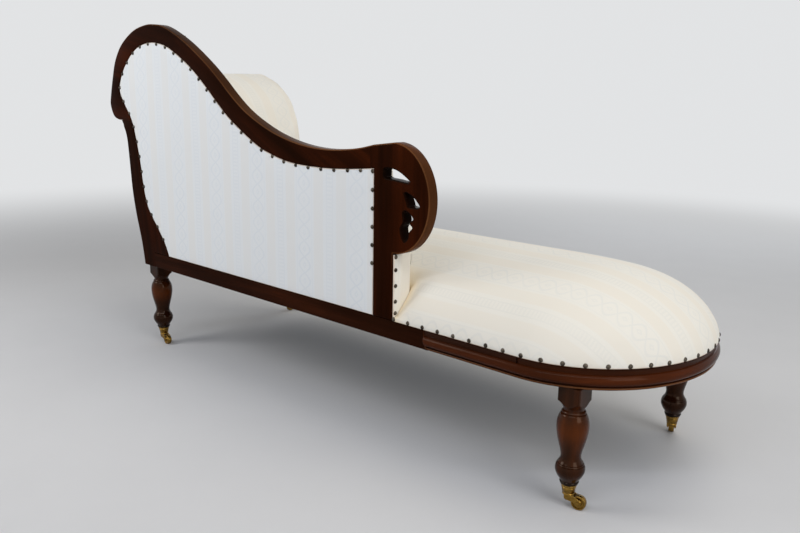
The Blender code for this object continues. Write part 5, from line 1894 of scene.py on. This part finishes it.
@dataclass
class Studio:
    """Plain pale floor, soft lamps and the camera at the photograph's angle.

    Each lamp is listed with its place, size, power and colour.
    """

    eye: tuple[float, float, float] = (-1.4744, 1.5316, 0.8200)
    yaw: float = -47.303
    pitch: float = 13.016
    roll: float = 0.887
    focal_pixels: float = 804.3
    frame_width: float = 800.0
    sensor: float = 36.0
    clip: Pair = (0.05, 100.0)
    floor_size: float = 60.0
    floor_end: Pair = (1.7, 4.8)
    floor_tones: tuple[Colour, Colour] = ((0.72, 0.72, 0.73), (0.69, 0.69, 0.70))
    soft_light: float = 0.16
    soft_colour: Colour = (0.97, 0.98, 1.0)
    backdrop: Colour = (0.76, 0.77, 0.78)
    aim: tuple[float, float, float] = (0.1, 0.1, 0.4)
    lamps: tuple[tuple, ...] = (
        ("window", (1.6, 1.9, 1.7), (1.2, 1.2), 21.0, (1.0, 0.99, 0.97)),
        ("ceiling", (-1.8, 2.0, 3.2), (6.0, 0.3), 60.0, (0.87, 0.91, 1.0)),
        ("overhead", (-0.9, -0.6, 3.2), (2.4, 2.4), 31.5, (1.0, 0.95, 0.85)),
        ("side", (-3.4, 0.9, 1.5), (1.6, 1.6), 27.0, (1.0, 0.98, 0.94)),
        ("front", (0.5, -3.0, 1.8), (2.0, 2.0), 17.0, (0.9, 0.95, 1.0)))

    def camera(self) -> None:
        """Set the camera by its eye, heading, downward tilt and roll."""
        data = bpy.data.cameras.new("view")
        data.sensor_width = self.sensor
        data.lens = self.focal_pixels / self.frame_width * self.sensor
        data.clip_start, data.clip_end = self.clip
        made = bpy.data.objects.new("view", data)
        bpy.context.scene.collection.objects.link(made)
        made.matrix_world = Matrix.Translation(self.eye)
        for angle, axis in ((self.yaw - 90, "Z"), (90 - self.pitch, "X"), (self.roll, "Z")):
            made.matrix_world @= Matrix.Rotation(math.radians(angle), 4, axis)
        bpy.context.scene.camera = made

    def floor(self) -> None:
        """A pale floor that runs out into the backdrop's tone far away."""
        ends = np.array([-0.5, 0.5]) * self.floor_size
        grid = np.stack([*np.meshgrid(ends, ends), np.zeros((2, 2))], axis=2)
        obj = Shell().add_grid(grid, flip=True).build("floor", outward=False)
        g = Graph("pale_floor")
        speck = g.noise(g.place(), 6.0, 3.0, 0.5)
        g.dress(Base_Color=g.mix(speck, *self.floor_tones), Roughness=0.8, Specular_IOR_Level=0.1)
        x, y, _ = g.parts(g.place())
        far = ((x * x + y * y) ** 0.5).step(*self.floor_end)
        glow = g.node("ShaderNodeEmission", None, self.backdrop, 1.0)
        blend = g.node("ShaderNodeMixShader", None, far, Value(g, g.shader.outputs[0]), glow)
        g.tree.links.new(blend.socket, g.tree.nodes["Material Output"].inputs["Surface"])
        obj.data.materials.append(g.material)

    def lamp(self, name: str, place: Sequence[float], size: Pair, power: float,
             colour: Colour) -> None:
        """Hang a soft lamp, so wide and so high, that looks at the object."""
        data = bpy.data.lights.new(name, "AREA")
        data.shape = "RECTANGLE"
        data.size, data.size_y = size
        data.energy = power
        data.color = colour
        made = bpy.data.objects.new(name, data)
        bpy.context.scene.collection.objects.link(made)
        turn = (Vector(self.aim) - Vector(place)).to_track_quat("-Z", "Y")
        made.matrix_world = Matrix.Translation(place) @ turn.to_matrix().to_4x4()

    def world(self) -> None:
        """Even soft light, and a pale backdrop for the camera, reflections and glass."""
        world = bpy.data.worlds.new("studio")
        bpy.context.scene.world = world
        world.use_nodes = True
        g = Graph(world)
        g.tree.nodes.clear()
        rays = g.node("ShaderNodeLightPath").socket.node.outputs
        seen, clear, mirrored = (Value(g, rays[f"Is {kind} Ray"])
                                 for kind in ("Camera", "Transmission", "Glossy"))
        soft = g.node("ShaderNodeBackground", None, self.soft_colour, self.soft_light)
        pale = g.node("ShaderNodeBackground", None, self.backdrop, 1.0)
        mixed = g.node("ShaderNodeMixShader", None, seen.most(clear).most(mirrored), soft, pale)
        out = g.tree.nodes.new("ShaderNodeOutputWorld")
        g.tree.links.new(mixed.socket, out.inputs["Surface"])

    def build(self) -> None:
        """Set the camera, the floor, the lamps and the world."""
        self.camera()
        self.floor()
        self.world()
        for lamp in self.lamps:
            self.lamp(*lamp)
        bpy.context.scene.view_settings.view_transform = "Standard"
        log.info("studio ready")


def dress_hidden_frame() -> None:
    """Finish the nodes that stay: core rails, braces and blocks."""
    beech = Beech().material()
    polish = Polish("mahogany_rails", seed=11.0).material()
    for name in ("seat_rail_front", "seat_rail_head", "bow_rail_back", "bow_rail_tip",
                 "bow_rail_front", "head_roundel"):
        paint_node(name, polish)
    for name in ("seat_brace_middle", "seat_brace_foot", "corner_block_back", "corner_block_front",
                 "back_brace_foot", "back_brace_head", "head_top_rail", "head_stay_rail"):
        paint_node(name, beech)


def main() -> None:
    """Build the recamier's looks, sub-assembly by sub-assembly."""
    logging.basicConfig(level=logging.INFO, format="%(message)s")
    chassis = Chassis.read()
    Studio().build()
    boards, mouldings = ShowBoards(), RailMouldings(chassis)
    boards.build()
    boards.plain_rail(mouldings.stop_length, mouldings.stop_height, mouldings.thickness)
    mouldings.build()
    # The legs' lightest colour is the painted highlight glowing on their bulbs.
    legs = Polish("mahogany_legs", turn=(0.0, 90.0, 0.0), dark=linear(27, 11, 4),
                  body=linear(50, 22, 7), warm=linear(106, 50, 14), highlight_and_wear=linear(146, 68, 12),
                  roughness=0.15, gloss=0.12, coat=0.10, stain_below=0.0605, seed=2.0)
    leg_finish, brass_finish = legs.material(), Brass("aged_brass").material()
    for corner in ("head_back", "head_front", "foot_back", "foot_front"):
        Leg(corner, chassis.underside).build(leg_finish)
        Castor(corner).build(brass_finish)
    bronze = Brass("antiqued_bronze", bright=linear(96, 88, 78), dull=linear(27, 23, 20),
                   roughness=0.30, tarnish=0.8).material()
    nails = Nails(chassis, bronze)
    SeatCover(chassis, Damask("damask_seat", phase=0.165)).build()
    RollPad(Damask("damask_roll", phase=0.165)).build()
    BackPad(Damask("damask_inside_back", phase=-0.0106)).build()
    # Painted cool light: a cooler copy of the damask for the outside back.
    cool_lit_damask = Damask("damask_outside_back", ground=linear(233, 236, 238), ribbon=linear(220, 226, 232),
                  satin=linear(232, 230, 226), ladder=linear(222, 227, 232), phase=-0.0106)
    OutsideBack(cool_lit_damask, nails.back_places()).build()
    HeadPanel(Damask("damask_head_panel")).build()
    SeatBase(chassis).build()
    nails.back()
    nails.seat()
    nails.post()
    dress_hidden_frame()


if __name__ == "__main__":
    main()
